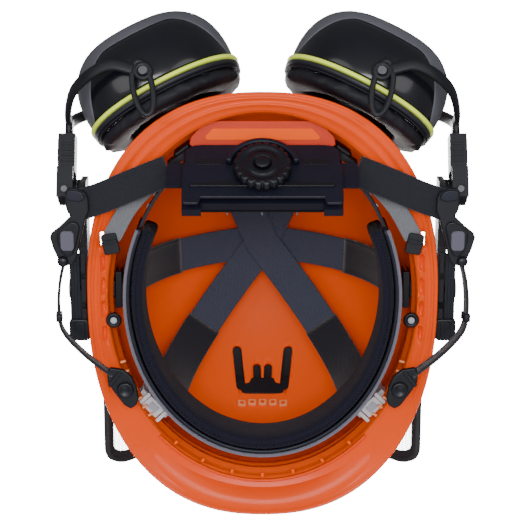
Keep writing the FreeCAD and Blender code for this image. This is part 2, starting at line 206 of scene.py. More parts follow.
def metal(name, colour, rough, worn, grain):
    """Bare metal; rough is its (low, high) range and worn the (scale, detail) of the change."""
    mat, tree, shader = new_material(name, colour, rough[0], metal=1.0)
    rough_range(tree, shader, noise(tree, *worn), *rough)
    add_bump(tree, shader, noise(tree, grain, 2.0), "Fac", 0.3, 0.00005)
    return mat


def shell_plastic(name, colour, rough, coat, specular):
    """Orange moulding with faint orange peel and a slight random change of tone."""
    mat, tree, shader = new_material(name, colour, rough, coat=coat, coat_rough=0.1, specular=specular)
    tint(tree, shader, noise(tree, 9.0, 4.0), "Fac",
         [(0.25, shade(colour, 0.93)), (0.8, shade(colour, 1.06))])
    rough_range(tree, shader, noise(tree, 70.0, 6.0), rough * 0.7, rough * 1.25)
    add_bump(tree, shader, noise(tree, 420.0, 2.0), "Fac", 0.12, 0.00015)
    return mat


def perforated(name, colour):
    """Sweatband textile: a diamond grid of small holes over a soft knit; the holes are painted near black,
    which is painted shade.
    """
    mat, tree, shader = new_material(name, colour, 0.85, specular=0.12)
    shader.inputs["Sheen Weight"].default_value = 0.06
    shader.inputs["Sheen Roughness"].default_value = 0.5
    holes = add_node(tree, "ShaderNodeTexVoronoi", Scale=1.0, Randomness=0.0)
    uv = tree.nodes.new("ShaderNodeUVMap")
    link(tree, turned_uv(tree, uv, math.radians(45), 620), "Vector", holes, "Vector")
    # near black in the holes: painted shade
    tint(tree, shader, holes, "Distance", [(0.2, (0.003, 0.003, 0.006)), (0.32, colour),
                                           (0.75, shade(colour, 1.9))])
    add_bump(tree, shader, holes, "Distance", 0.7, 0.0008)
    return mat


def soft_vinyl(name, colour):
    """Foam filled skin with fine grain and soft creases; its colour is painted shade in the creases and
    painted highlight on the crests.
    """
    mat, tree, shader = new_material(name, colour, 0.6, specular=0.2)
    creases = noise(tree, 60.0, 6.0, 0.65)
    rough_range(tree, shader, creases, 0.48, 0.7)
    # darker in the creases and lighter on the crests: painted shade and painted highlight
    tint(tree, shader, creases, "Fac", [(0.3, shade(colour, 0.7)), (0.8, shade(colour, 1.6))])
    broad = add_bump(tree, shader, creases, "Fac", 0.3, 0.0006)
    add_bump(tree, shader, cells(tree, 900.0), "Distance", 0.35, 0.0001, broad)
    return mat


def open_foam(name, colour):
    """Grey foam with open pores, painted darker inside as painted shade."""
    mat, tree, shader = new_material(name, colour, 0.95, specular=0.1)
    pores = cells(tree, 1100.0)
    # pores darker than the foam round them: painted shade
    tint(tree, shader, pores, "Distance", [(0.1, shade(colour, 0.3)), (0.6, shade(colour, 1.5))])
    add_bump(tree, shader, pores, "Distance", 0.9, 0.0006)
    return mat


def neon_plastic_painted_glow():
    """Bright yellow-green plastic with a faint painted glow from emission."""
    mat, tree, shader = new_material("neon_ring", (0.72, 0.86, 0.06), 0.42, specular=0.4)
    tint(tree, shader, noise(tree, 40.0, 4.0), "Fac", [(0.3, (0.66, 0.82, 0.05)), (0.75, (0.8, 0.93, 0.11))])
    # emission: painted glow, the ring is no lamp
    shader.inputs["Emission Color"].default_value = (0.75, 0.95, 0.1, 1)
    shader.inputs["Emission Strength"].default_value = 0.22
    add_bump(tree, shader, noise(tree, 1000.0, 2.0), "Fac", 0.2, 0.00005)
    return mat


MATERIALS = {
    "shell": shell_plastic("shell_orange_gloss", (0.80, 0.066, 0.001), 0.3, 0.05, 0.14),
    # same orange plastic, matt inside, and lighter and yellower than the outside: the matt finish is its own,
    # the extra lightness is painted light
    "shell_inside_painted_light": shell_plastic("shell_orange_inside_painted_light", (0.91, 0.098, 0.002), 0.5, 0.0, 0.12),
    # deeper red than the shell plastic: painted shade for the rear shelf, which sits in shadow
    "shelf": moulded("shell_red_painted_shade", (0.55, 0.032, 0.003), 0.45),
    # paler copy of the shell orange for small ribs and teeth: painted highlight
    "shell_painted_highlight": moulded("shell_painted_highlight_edge", (0.88, 0.30, 0.12), 0.4),
    # front clips and tab: their own light grey, made lighter than the clip grey to offset the shade they sit
    # in, which is painted light
    "clip_light": moulded("clip_painted_light_grey", (0.62, 0.62, 0.66), 0.4),
    "webbing": woven("webbing_slate", (0.044, 0.051, 0.080), (0.088, 0.100, 0.148), sheen=0.1),
    "strap": woven("webbing_black", (0.007, 0.0075, 0.013), (0.026, 0.028, 0.040), turn=0.3),
    "light_webbing": woven("webbing_light", (0.13, 0.135, 0.15), (0.30, 0.31, 0.34)),
    "band": moulded("band_black", (0.006, 0.007, 0.017), 0.42, spread=0.3),
    "bracket": moulded("bracket_black", (0.0055, 0.006, 0.010), 0.46, depth=0.00014, spread=0.3),
    "knob": moulded("knob_black", (0.006, 0.0065, 0.011), 0.34, spread=0.3),
    "clip": moulded("clip_grey", (0.36, 0.38, 0.43), 0.45),
    "edge": woven("edge_lilac", (0.13, 0.125, 0.17), (0.30, 0.29, 0.36), pitch=0.0008),
    "sweatband": perforated("sweatband_knit", (0.008, 0.008, 0.017)),
    "cushion": soft_vinyl("cushion_vinyl", (0.011, 0.011, 0.015)),
    "foam": open_foam("foam_grey", (0.05, 0.05, 0.055)),
    "cup_cap": moulded("cup_cap_grey", (0.10, 0.10, 0.12), 0.62, depth=0.00016),
    "cup_gloss": moulded("cup_gloss_black", (0.006, 0.006, 0.010), 0.22, grain=500.0,
                         depth=0.00002, coat=0.25, spread=0.3),
    "cup_base": moulded("cup_base_black", (0.020, 0.020, 0.028), 0.35, spread=0.3),
    "neon": neon_plastic_painted_glow(),
    "steel": metal("zinc_screw", (0.13, 0.13, 0.145), (0.3, 0.5), (300.0, 5.0), 1500.0),
    "wire": metal("wire_mesh_metal", (0.42, 0.43, 0.46), (0.22, 0.5), (240.0, 3.0), 1800.0),
    "rubber": moulded("visor_rubber", (0.030, 0.031, 0.036), 0.6, depth=0.00018, spread=0.25),
}


# material, body and slot of the pieces that come up most
BRACKET_STYLE = ("bracket", "helmet", "bracket_black")
KNOB_STYLE = ("knob", "helmet", "bracket_black")
BAND_STYLE = ("band", "helmet", "band_black")
SHELL_STYLE = ("shell", "helmet", "shell_orange")
TAB_STYLE = ("clip_light", "helmet", "clip_grey")
STRAP_STYLE = ("strap", "helmet", "strap_black")
THREAD_STYLE = ("light_webbing", "helmet", "webbing_light")
LINER_STYLE = ("sweatband", "helmet", "sweatband")
VISOR_STYLE = ("bracket", "visor", "bracket_black")


# ---- mesh helpers -------------------------------------------------------------------
def new_object(name, data):
    """Object in the scene."""
    piece = bpy.data.objects.new(name, data)
    bpy.context.scene.collection.objects.link(piece)
    return piece


def make_object(name, verts, faces, material, body, slot, uvs=None, smooth=True):
    """Piece from vertices and faces, with its normals outward, riding on a body."""
    mesh = bpy.data.meshes.new(name)
    mesh.from_pydata([tuple(v) for v in verts], [], faces)
    if uvs:
        layer = mesh.uv_layers.new(name="UVMap")
        for loop in mesh.loops:
            layer.data[loop.index].uv = uvs[loop.vertex_index]
    mesh.validate()
    mesh.polygons.foreach_set("use_smooth", [smooth] * len(mesh.polygons))
    piece = new_object(name, mesh)
    mesh.materials.append(MATERIALS[material])
    tidy = bmesh.new()
    tidy.from_mesh(mesh)
    bmesh.ops.recalc_face_normals(tidy, faces=tidy.faces)
    tidy.to_mesh(mesh)
    tidy.free()
    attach(piece, body)
    return piece


def apply_modifiers(piece):
    """Bake the modifiers of a piece into its mesh."""
    view = bpy.context.evaluated_depsgraph_get()
    baked = bpy.data.meshes.new_from_object(piece.evaluated_get(view))
    piece.modifiers.clear()
    piece.data = baked


def shade_smooth(piece):
    """Smooth shading on every face."""
    piece.data.polygons.foreach_set("use_smooth", [True] * len(piece.data.polygons))


def even_normals(piece):
    """Smooth shading that keeps the flat faces flat."""
    shade_smooth(piece)
    piece.modifiers.new("normals", "WEIGHTED_NORMAL").keep_sharp = True


def bevel(piece, width, segments=3, angle=35):
    """Round the edges that are sharper than the angle; width in metres."""
    edge = piece.modifiers.new("edge", "BEVEL")
    edge.width = width
    edge.segments = segments
    edge.limit_method = "ANGLE"
    edge.angle_limit = math.radians(angle)
    edge.harden_normals = False


def grid_faces(rows, columns, close_columns=True, close_rows=False):
    """Quads over a grid of vertices, which can close on itself both ways."""
    faces = []
    for r in range(rows if close_rows else rows - 1):
        for c in range(columns if close_columns else columns - 1):
            a, b = r * columns, ((r + 1) % rows) * columns
            d = (c + 1) % columns
            faces.append((a + c, a + d, b + d, b + c))
    return faces


def spline(points, per_run=8):
    """Smooth curve through the points (Catmull-Rom)."""
    padded = [points[0] * 2 - points[1]] + list(points) + [points[-1] * 2 - points[-2]]
    out = []
    for i in range(1, len(padded) - 2):
        p0, p1, p2, p3 = padded[i - 1:i + 3]
        for k in range(per_run):
            t = k / per_run
            out.append(0.5 * ((2 * p1) + (p2 - p0) * t + (2 * p0 - 5 * p1 + 4 * p2 - p3) * t * t
                              + (3 * p1 - p0 - 3 * p2 + p3) * t ** 3))
    out.append(points[-1].copy())
    return out


def lerp_list(values, count):
    """Spread a short list of vectors over count places."""
    out = []
    for i in range(count):
        at = i / (count - 1) * (len(values) - 1)
        k = min(int(at), len(values) - 2)
        out.append(values[k].lerp(values[k + 1], at - k))
    return out


def sweep(name, path, wide, section, material, body, slot, closed=False, twist=None):
    """Section of (across, out) points carried along a path; wide is the across direction."""
    verts, uvs, count = [], [], len(path)
    wides = lerp_list(wide, count) if isinstance(wide, list) else [wide] * count
    perimeter = [0.0]
    for a, b in zip(section, section[1:]):
        perimeter.append(perimeter[-1] + (Vector(b) - Vector(a)).length)
    run = 0.0
    for i, p in enumerate(path):
        ahead = path[(i + 1) % count] if closed else path[min(i + 1, count - 1)]
        behind = path[i - 1] if closed or i else path[0]
        along = (ahead - behind).normalized()
        across = (wides[i] - along * wides[i].dot(along)).normalized()
        out = along.cross(across)
        if i:
            run += (p - path[i - 1]).length
        scale = twist(i / max(1, count - 1)) if twist else 1.0
        for (u, v), s in zip(section, perimeter):
            verts.append(p + across * u * scale + out * v * scale)
            uvs.append((s, run))
    faces = grid_faces(count, len(section), True, closed)
    if not closed:
        n = len(section)
        faces.append(tuple(range(n)))
        faces.append(tuple((count - 1) * n + k for k in range(n))[::-1])
    return make_object(name, verts, faces, material, body, slot, uvs)


def strap_section(width, wall):
    """Flat webbing with slightly thicker woven edges; sizes in millimetres."""
    h, w = wall * MM / 2, width * MM / 2
    top = [(-w, h * 0.4), (-w + 0.3 * MM, h * 1.2), (-w + 1.2 * MM, h * 1.25), (-w + 2.0 * MM, h)]
    top += [(x * w / 5, h) for x in range(-3, 4)]
    top += [(-x, y) for x, y in top[3::-1]]
    return top + [(x, -y) for x, y in reversed(top)]


def round_section(a, b, count=14, power=2.0):
    """Squared oval with half axes a and b in millimetres."""
    out = []
    for i in range(count):
        t = 2 * math.pi * i / count
        c, s = math.cos(t), math.sin(t)
        out.append((a * MM * math.copysign(abs(c) ** (2 / power), c),
                    b * MM * math.copysign(abs(s) ** (2 / power), s)))
    return out


def plate(name, outline, thickness, place, material, body, slot, edge):
    """Bevelled plate from an (x, y) outline in metres; thickness and edge are in millimetres."""
    mesh = bmesh.new()
    ring = [mesh.verts.new((x, y, 0)) for x, y in outline]
    face = mesh.faces.new(ring)
    lifted = bmesh.ops.extrude_face_region(mesh, geom=[face])
    bmesh.ops.translate(mesh, vec=(0, 0, thickness * MM),
                        verts=[g for g in lifted["geom"] if isinstance(g, bmesh.types.BMVert)])
    bmesh.ops.recalc_face_normals(mesh, faces=mesh.faces)
    data = bpy.data.meshes.new(name)
    mesh.to_mesh(data)
    mesh.free()
    data.transform(place)
    piece = new_object(name, data)
    data.materials.append(MATERIALS[material])
    bevel(piece, edge * MM)
    apply_modifiers(piece)
    even_normals(piece)
    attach(piece, body)
    return piece


def rounded_outline(half_w, half_h, radius, steps=5):
    """Rectangle with rounded corners."""
    out = []
    x, y = half_w - radius, half_h - radius
    for cx, cy, start in ((x, y, 0), (-x, y, 90), (-x, -y, 180), (x, -y, 270)):
        for i in range(steps + 1):
            a = math.radians(start + 90 * i / steps)
            out.append((cx + radius * math.cos(a), cy + radius * math.sin(a)))
    return out


def both_halves(right):
    """Closed outline from its right half, in millimetres."""
    return [(x * MM, y * MM) for x, y in right] + [(-x * MM, y * MM) for x, y in reversed(right)]


def slab(name, size, depth, place, material, body, slot, edge):
    """Plate with rounded corners; size is (half width, half height, corner radius) in millimetres."""
    outline = rounded_outline(*(value * MM for value in size))
    return plate(name, outline, depth, place, material, body, slot, edge)


# ---- shell --------------------------------------------------------------------------
SHELL_LO, SHELL_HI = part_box("helmet_shell")
RIM_HALF, RIM_REAR, CROWN_Z = SHELL_HI
PEAK_TIP, PEAK_DROP = SHELL_LO.y, -SHELL_LO.z
DOME_A, DOME_B = 104 * MM, 127 * MM
DOME_Y, WALL_Z, WALL = -2 * MM, 34 * MM, 3 * MM


def rim_point(angle, grow=0.0):
    """Outline of the flange, fuller than an ellipse and longer at the peak."""
    c, s = math.cos(angle), math.sin(angle)
    reach = RIM_REAR if s > 0 else -PEAK_TIP
    power = 2 / 2.35
    x = (RIM_HALF + grow) * math.copysign(abs(c) ** power, c)
    y = (reach + grow) * math.copysign(abs(s) ** power, s)
    forward = max(0.0, -y - 60 * MM) / (-PEAK_TIP - 60 * MM)
    return Vector((x, y, -PEAK_DROP * forward ** 2))


def smooth_step(low, high, value):
    """0 below low, 1 above high, and a smooth rise between them."""
    t = min(1.0, max(0.0, (value - low) / (high - low)))
    return t * t * (3 - 2 * t)


def dome_point(angle, height, inset):
    """Point of the dome wall; the plan angle follows the rim so that the rows line up."""
    target = rim_point(angle)
    a, b = DOME_A - inset, DOME_B - inset
    plan = math.atan2((target.y - DOME_Y) / b, target.x / a)
    top = CROWN_Z - inset
    rise = max(0.0, height - WALL_Z) / (top - WALL_Z)
    shrink = math.sqrt(max(0.0, 1 - min(1.0, rise) ** 2))
    return Vector((a * math.cos(plan) * shrink, DOME_Y + b * math.sin(plan) * shrink, height))


def spine_lift(p):
    """Raised rib over the middle of the crown, with a groove on each side."""
    across = abs(p.x)
    rib = 1 - smooth_step(13 * MM, 19 * MM, across)
    groove = math.exp(-((across - 24 * MM) / (5 * MM)) ** 2)
    return (rib * 1.6 * MM - groove * 0.9 * MM) * smooth_step(50 * MM, 90 * MM, p.z)


def side_step(p):
    """Shallow moulded shoulder that runs round the outside above the rim."""
    return 1.3 * MM * (1 - smooth_step(18 * MM, 22 * MM, p.z)) - 0.6 * MM


def rear_panel(p):
    """Raised flat topped panel inside the back of the crown."""
    if p.y < 0:
        return 0.0
    half = 58 * MM - 0.35 * (p.z - 60 * MM)
    sides = 1 - smooth_step(half - 3 * MM, half, abs(p.x))
    ends = smooth_step(52 * MM, 55 * MM, p.z) * (1 - smooth_step(97 * MM, 100 * MM, p.z))
    return 2.6 * MM * sides * ends


def is_inside(p):
    """True on the inner wall and vault."""
    a, b, c = DOME_A - 1.5 * MM, DOME_B - 1.5 * MM, CROWN_Z - WALL_Z - 1.5 * MM
    up = max(0.0, p.z - WALL_Z) / c
    return p.z > 1 * MM and (p.x / a) ** 2 + ((p.y - DOME_Y) / b) ** 2 + up ** 2 < 1


def build_shell():
    """Closed moulding: inner wall, ledge, underside of the flange, lip, flange top, outer wall."""
    columns, crown_steps, rows = 192, 26, []
    angles = [2 * math.pi * i / columns for i in range(columns)]

    def add(make):
        rows.append([make(a) for a in angles])

    top_in = CROWN_Z - WALL
    for i in range(1, crown_steps + 1):
        t = math.pi / 2 * (1 - i / crown_steps)
        height = WALL_Z + (top_in - WALL_Z) * math.sin(t)

        def vault(a, h=height):
            p = dome_point(a, h, WALL)
            return p - Vector((p.x, p.y - DOME_Y, p.z - WALL_Z)).normalized() * rear_panel(p)
        add(vault)
    for height, inset in ((30, 3), (26.5, 3), (25.5, 4.4), (21.5, 4.4), (20.5, 3), (17, 3),
                          (16, 5.2), (12.6, 5.2), (11.4, 3), (6, 3), (3, 2.6)):
        add(lambda a, h=height * MM, n=inset * MM: dome_point(a, h, n))
    # underside of the flange: from the foot of the wall out to the lip, with two ridges
    for share, drop in ((0.0, 0.6), (0.12, 0.1), (0.30, 0.0), (0.34, -0.7), (0.42, -0.7),
                        (0.46, 0.0), (0.62, 0.1), (0.66, -0.8), (0.76, -0.8), (0.80, 0.1),
                        (0.90, 0.3)):
        def under(a, share=share, drop=drop):
            foot = dome_point(a, 1.5 * MM, 1.5 * MM)
            foot.z = 0.8 * MM
            lip = rim_point(a)
            p = foot.lerp(lip, share)
            p.z = foot.z * (1 - share) + lip.z * share ** 1.6
            ridge = drop if lip.y > -70 * MM else max(drop, 0.0) + 0.2
            p.z += ridge * MM
            return p
        add(under)
    for out, up in ((-0.9, 0.0), (-0.25, 0.35), (0.0, 1.2), (-0.2, 2.2), (-0.9, 2.7)):
        add(lambda a, o=out * MM, u=up * MM: rim_point(a, o) + Vector((0, 0, u)))
    for share in (0.12, 0.3, 0.55, 0.75, 0.88, 0.96):
        def over(a, share=share):
            lip = rim_point(a, -0.9 * MM) + Vector((0, 0, 2.8 * MM))
            foot = dome_point(a, 7 * MM, 0)
            p = lip.lerp(foot, share)
            p.z = lip.z + (foot.z - lip.z) * share ** 3.2
            return p
        add(over)
    for height in (9, 12, 15, 18, 19.5, 21, 22.5, 25, 29, 34):
        def wall(a, h=height * MM):
            p = dome_point(a, h, 0)
            out = Vector((p.x, p.y, 0)).normalized()
            return p + out * side_step(p)
        add(wall)
    for i in range(1, crown_steps):
        t = math.pi / 2 * i / crown_steps
        height = WALL_Z + (CROWN_Z - 0.2 * MM - WALL_Z) * math.sin(t)

        def crown(a, h=height):
            p = dome_point(a, h, 0)
            out = Vector((p.x, p.y, p.z - WALL_Z)).normalized()
            return p + out * (spine_lift(p) - 0.6 * MM)
        add(crown)
    verts = [p for row in rows for p in row]
    faces = grid_faces(len(rows), columns)
    inner_pole, outer_pole = len(verts), len(verts) + 1
    # the rows start just off the inner pole and end just off the outer one
    verts += [Vector((0, DOME_Y, top_in)), Vector((0, DOME_Y, CROWN_Z + 0.6 * MM))]
    last = (len(rows) - 1) * columns
    for c in range(columns):
        d = (c + 1) % columns
        faces.append((inner_pole, c, d))
        faces.append((outer_pole, last + d, last + c))
    shell = make_object("shell_moulding", verts, faces, *SHELL_STYLE)
    shell.data.materials.append(MATERIALS["shell_inside_painted_light"])
    # inner faces take the lighter orange copy: partly painted light
    for face in shell.data.polygons:
        face.material_index = 1 if is_inside(face.center) else 0
    cut_vents(shell)
    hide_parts("helmet_shell")


def prism(name, outline, depth, place):
    """Closed cutter from an outline, extruded both ways to a depth in millimetres."""
    verts = [Vector((x, y, z)) for z in (-depth * MM / 2, depth * MM / 2) for x, y in outline]
    n = len(outline)
    faces = [tuple(range(n))[::-1], tuple(range(n, 2 * n))]
    faces += [(i, (i + 1) % n, n + (i + 1) % n, n + i) for i in range(n)]
    mesh = bpy.data.meshes.new(name)
    mesh.from_pydata([tuple(v) for v in verts], [], faces)
    mesh.transform(place)
    return new_object(name, mesh)


def cut(piece, cutters):
    """Boolean the cutters out of a piece and drop them."""
    for cutter in cutters:
        mod = piece.modifiers.new("cut", "BOOLEAN")
        mod.operation = "DIFFERENCE"
        mod.solver = "EXACT"
        mod.object = cutter
    apply_modifiers(piece)
    shade_smooth(piece)
    for cutter in cutters:
        bpy.data.objects.remove(cutter)


def cut_vents(shell):
    """Forehead vents: two tall outer slots, two short inner ones, and slots in the flange."""
    cutters = []
    for x, along, half_w, half_h, skew in ((-17, 3, 3.3, 17, 6), (17, 3, 3.3, 17, -6),
                                           (-4.0, -4, 2.9, 10, 2), (4.0, -4, 2.9, 10, -2)):
        place = shift(0, -89, 112) @ spin(42, "X") @ spin(skew, "Z") @ shift(x, along, 0)
        cutters.append(prism("vent", rounded_outline(half_w * MM, half_h * MM, half_w * 0.95 * MM),
                             30, place))
    for x in (103.8, -103.8):
        for y in (-24, -8, 8, 24, 40):
            cutters.append(prism("slot", rounded_outline(1.5 * MM, 5.0 * MM, 1.2 * MM), 7, shift(x, y, 0)))
    cut(shell, cutters)


build_shell()


# ---- ear muffs ------------------------------------------------------------------------
ARM_RISE = math.radians(25)         # parked arm: back and up
CUP_TURN = math.radians(28)
KNUCKLE = mm(128, 68, 14)
ARM_ALONG = Vector((0, math.cos(ARM_RISE), math.sin(ARM_RISE)))
ARM_UP = Vector((0, -math.sin(ARM_RISE), math.cos(ARM_RISE)))
CUP_NORMAL = Vector((1, 0, 0)) * math.sin(CUP_TURN) + ARM_ALONG * math.cos(CUP_TURN)
CUP_SIDE = ARM_UP.cross(CUP_NORMAL)
CUP_MIDDLE = Vector((64 * MM, KNUCKLE.y, KNUCKLE.z)) + ARM_ALONG * 63.5 * MM
CUP_A, CUP_B = 52.5 * MM, 43 * MM


def mirrored(v, sign):
    """The point itself on the left side, its mirror copy on the right."""
    return Vector((v.x * sign, v.y, v.z))


def cup_place(x, y, z, sign):
    """Point of the cup's own frame, in metres: x across, y up, z out of the dome."""
    return mirrored(CUP_MIDDLE + CUP_SIDE * x + ARM_UP * y + CUP_NORMAL * z, sign)


def cup_rings(name, profile, sign, side, material, slot, closed=True, power=2.15):
    """Oval rings joined into one skin. A ring is (grow, height) in millimetres, or a function
    that gives the pair at each angle round the oval."""
    steps, verts = 96, []
    for row in profile:
        for i in range(steps):
            t = 2 * math.pi * i / steps
            c, s = math.cos(t), math.sin(t)
            grow, height = row(t) if callable(row) else row
            x = (CUP_A + grow * MM) * math.copysign(abs(c) ** (2 / power), c)
            y = (CUP_B + grow * MM) * math.copysign(abs(s) ** (2 / power), s)
            verts.append(cup_place(x, y, height * MM, sign))
    faces = grid_faces(len(profile), steps, True, closed)
    if sign < 0:
        faces = [face[::-1] for face in faces]
    return make_object(name, verts, faces, material, "cup_" + side, slot)


def cup_dome(name, profile, sign, side, material, slot):
    """Oval skin that closes over its last ring."""
    piece = cup_rings(name, profile, sign, side, material, slot, closed=False)
    mesh = bmesh.new()
    mesh.from_mesh(piece.data)
    rim = [e for e in mesh.edges if e.is_boundary]
    bmesh.ops.holes_fill(mesh, edges=rim)
    bmesh.ops.recalc_face_normals(mesh, faces=mesh.faces)
    mesh.to_mesh(piece.data)
    mesh.free()
    return piece


def cup_outline(height):
    """How far the cup's side stands outside the plain oval at a height, in millimetres."""
    table = ((0, -1.4), (4, -0.2), (9, 0.3), (15, 0.3), (22, -0.6), (28, -2.2), (33, -4.4), (38, -7.6),
             (42, -11.2), (45.5, -15.6), (48.5, -21.4), (50.3, -28), (51, -36))
    for (h0, g0), (h1, g1) in zip(table, table[1:]):
        if height <= h1:
            return g0 + (g1 - g0) * max(0.0, height - h0) / (h1 - h0)
    return table[-1][1]


def cap_line(angle):
    """Height of the matte cap's edge: low at the oval's ends, high over its long sides."""
    return 2.6 + 35.4 * smooth_step(0.3, 0.9, abs(math.sin(angle)))


def build_cup(side, sign):
    """Gloss side wall, matte cap with a rolled edge, neon line and base."""
    def wall_row(share, inset):
        def at(t):
            height = 1.8 + (cap_line(t) - 1.8) * share
            return cup_outline(height) - 0.55 - inset, height
        return at

    def cap_row(share, inset=0.0):
        def at(t):
            height = cap_line(t) + (51.0 - cap_line(t)) * share
            return cup_outline(height) - inset, height
        return at
    shares = (0, 0.04, 0.12, 0.25, 0.4, 0.55, 0.7, 0.82, 0.92, 1.0)
    rows = [(-3.2, 2.0)] + [wall_row(k, 0) for k in shares] + [wall_row(k, 2.6) for k in shares[:0:-1]]
    wall = cup_rings("cup_wall_" + side, rows, sign, side, "cup_gloss", "cup_gloss")
    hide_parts("muff_cup_wall_" + side)
    rows = [cap_row(-0.005, 2.4), cap_row(-0.012, 0.9), cap_row(0.0, 0.2), cap_row(0.014)]
    rows += [cap_row(k / 18) for k in range(1, 18)] + [(-36, 51.0)]
    cap = cup_dome("cup_cap_" + side, rows, sign, side, "cup_cap", "cup_grey")
    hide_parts("muff_cup_cap_" + side)
    line = ((-5, -1.3), (0.5, -1.3), (1.4, -1.0), (1.7, 0), (1.4, 1.0), (0.5, 1.3), (-5, 1.3))
    ring = cup_rings("neon_line_" + side, line, sign, side, "neon", "neon")
    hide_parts("muff_neon_ring_" + side)
    foot = ((-14, -2.2), (-1.0, -1.9), (0.4, -2.1), (1.0, -3.0), (0.8, -4.2), (-0.4, -5.2), (-3, -5.5),
            (-14, -5.5))
    base = cup_rings("cup_base_" + side, foot, sign, side, "cup_base", "bracket_black")
    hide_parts("muff_back_plate_" + side)


CLOTH_FRAMES = 20


def inflate(piece, size, pressure, limit, pinned):
    """Cloth pressure on a voxel skin, kept within a limit of where it began, in millimetres."""
    remesh = piece.modifiers.new("skin", "REMESH")
    remesh.mode = "VOXEL"
    remesh.voxel_size = size * MM
    smooth = piece.modifiers.new("even", "SMOOTH")
    smooth.factor, smooth.iterations = 0.5, 3
    apply_modifiers(piece)
    start = [v.co.copy() for v in piece.data.vertices]
    group = piece.vertex_groups.new(name="sewn")
    group.add([v.index for v in piece.data.vertices if pinned(v.co)], 1.0, "REPLACE")
    cloth = piece.modifiers.new("cloth", "CLOTH")
    skin = cloth.settings
    skin.quality, skin.mass = 4, 0.2
    skin.tension_stiffness = skin.compression_stiffness = 12
    skin.shear_stiffness, skin.bending_stiffness = 6, 0.4
    skin.use_pressure, skin.uniform_pressure_force = True, pressure
    skin.effector_weights.gravity = 0
    cloth.collision_settings.use_collision = False
    skin.vertex_group_mass = "sewn"
    cloth.point_cache.frame_end = CLOTH_FRAMES
    scene = bpy.context.scene
    for number in range(1, CLOTH_FRAMES + 1):
        scene.frame_set(number)
        bpy.context.view_layer.update()
    graph = bpy.context.evaluated_depsgraph_get()
    moved = [v.co.copy() for v in piece.evaluated_get(graph).to_mesh().vertices]
    piece.modifiers.remove(cloth)
    scene.frame_set(1)
    for vertex, before, after in zip(piece.data.vertices, start, moved):
        step = after - before
        vertex.co = before + step * min(1.0, limit * MM / max(step.length, 1e-9))
    finer = piece.modifiers.new("finer", "SUBSURF")
    finer.levels = finer.render_levels = 1
    apply_modifiers(piece)
    shade_smooth(piece)


def puffed(name, node, body, material, size, limit, pinned):
    """Soft piece puffed up from a copy of a CAD node, sewn down where pinned says."""
    piece = new_object(name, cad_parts[node].data.copy())
    piece.data.materials.clear()
    piece.data.materials.append(MATERIALS[material])
    inflate(piece, size, 3.0, limit, pinned)
    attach(piece, body)
    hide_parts(node)


def build_cushion(side, sign):
    """Ring of foam in vinyl: puffed by cloth pressure, then a welded seam round it."""
    puffed("ear_cushion_" + side, "muff_cushion_" + side, "cup_" + side, "cushion", 3.2, 2.2,
           lambda p: (mirrored(p, sign) - CUP_MIDDLE).dot(CUP_NORMAL) > -7 * MM)
    seam = ((-2.2, -6.2), (-0.2, -5.9), (0.2, -6.4), (-0.2, -6.9), (-2.2, -7.2))
    cup_rings("cushion_seam_" + side, seam, sign, side, "cushion", "cushion")
    pocket = ((-13.6, -5.2), (-12.4, -2), (-10, 3), (-8, 12), (-10, 20), (-16, 22))
    foam = cup_dome("cup_foam_" + side, pocket, sign, side, "foam", "foam")
    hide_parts("muff_foam_" + side)


for side, sign in SIDES:
    build_cup(side, sign)
    build_cushion(side, sign)


# ---- muff forks ----------------------------------------------------------------------
PIVOT = CUP_MIDDLE + CUP_SIDE * -8 * MM + CUP_NORMAL * 9 * MM
PIVOT_OUT, PIVOT_ALONG = PIVOT.x / MM, (PIVOT - KNUCKLE).dot(ARM_ALONG) / MM
TINE_UP = 48


def arm_point(x, along, up):
    """Point in the parked arm's plane, from millimetres."""
    return Vector((x * MM, KNUCKLE.y, KNUCKLE.z)) + ARM_ALONG * along * MM + ARM_UP * up * MM


def arm_frame(x, along, up, sign):
    """Matrix whose XY plane is the arm's plane: X across, Y along, Z out of the plane."""
    return frame_at(mirrored(arm_point(x, along, up), sign), Vector((1, 0, 0)), ARM_ALONG, ARM_UP)


def side_ring(count, shape, up_sign, sign):
    """Closed path round the cup's pivot; shape gives (x, along) in millimetres from cos and sin."""
    path = []
    for i in range(count):
        t = 2 * math.pi * i / count
        x, along = shape(math.cos(t), math.sin(t))
        path.append(mirrored(arm_point(PIVOT_OUT + x, PIVOT_ALONG + along, up_sign * TINE_UP), sign))
    return path


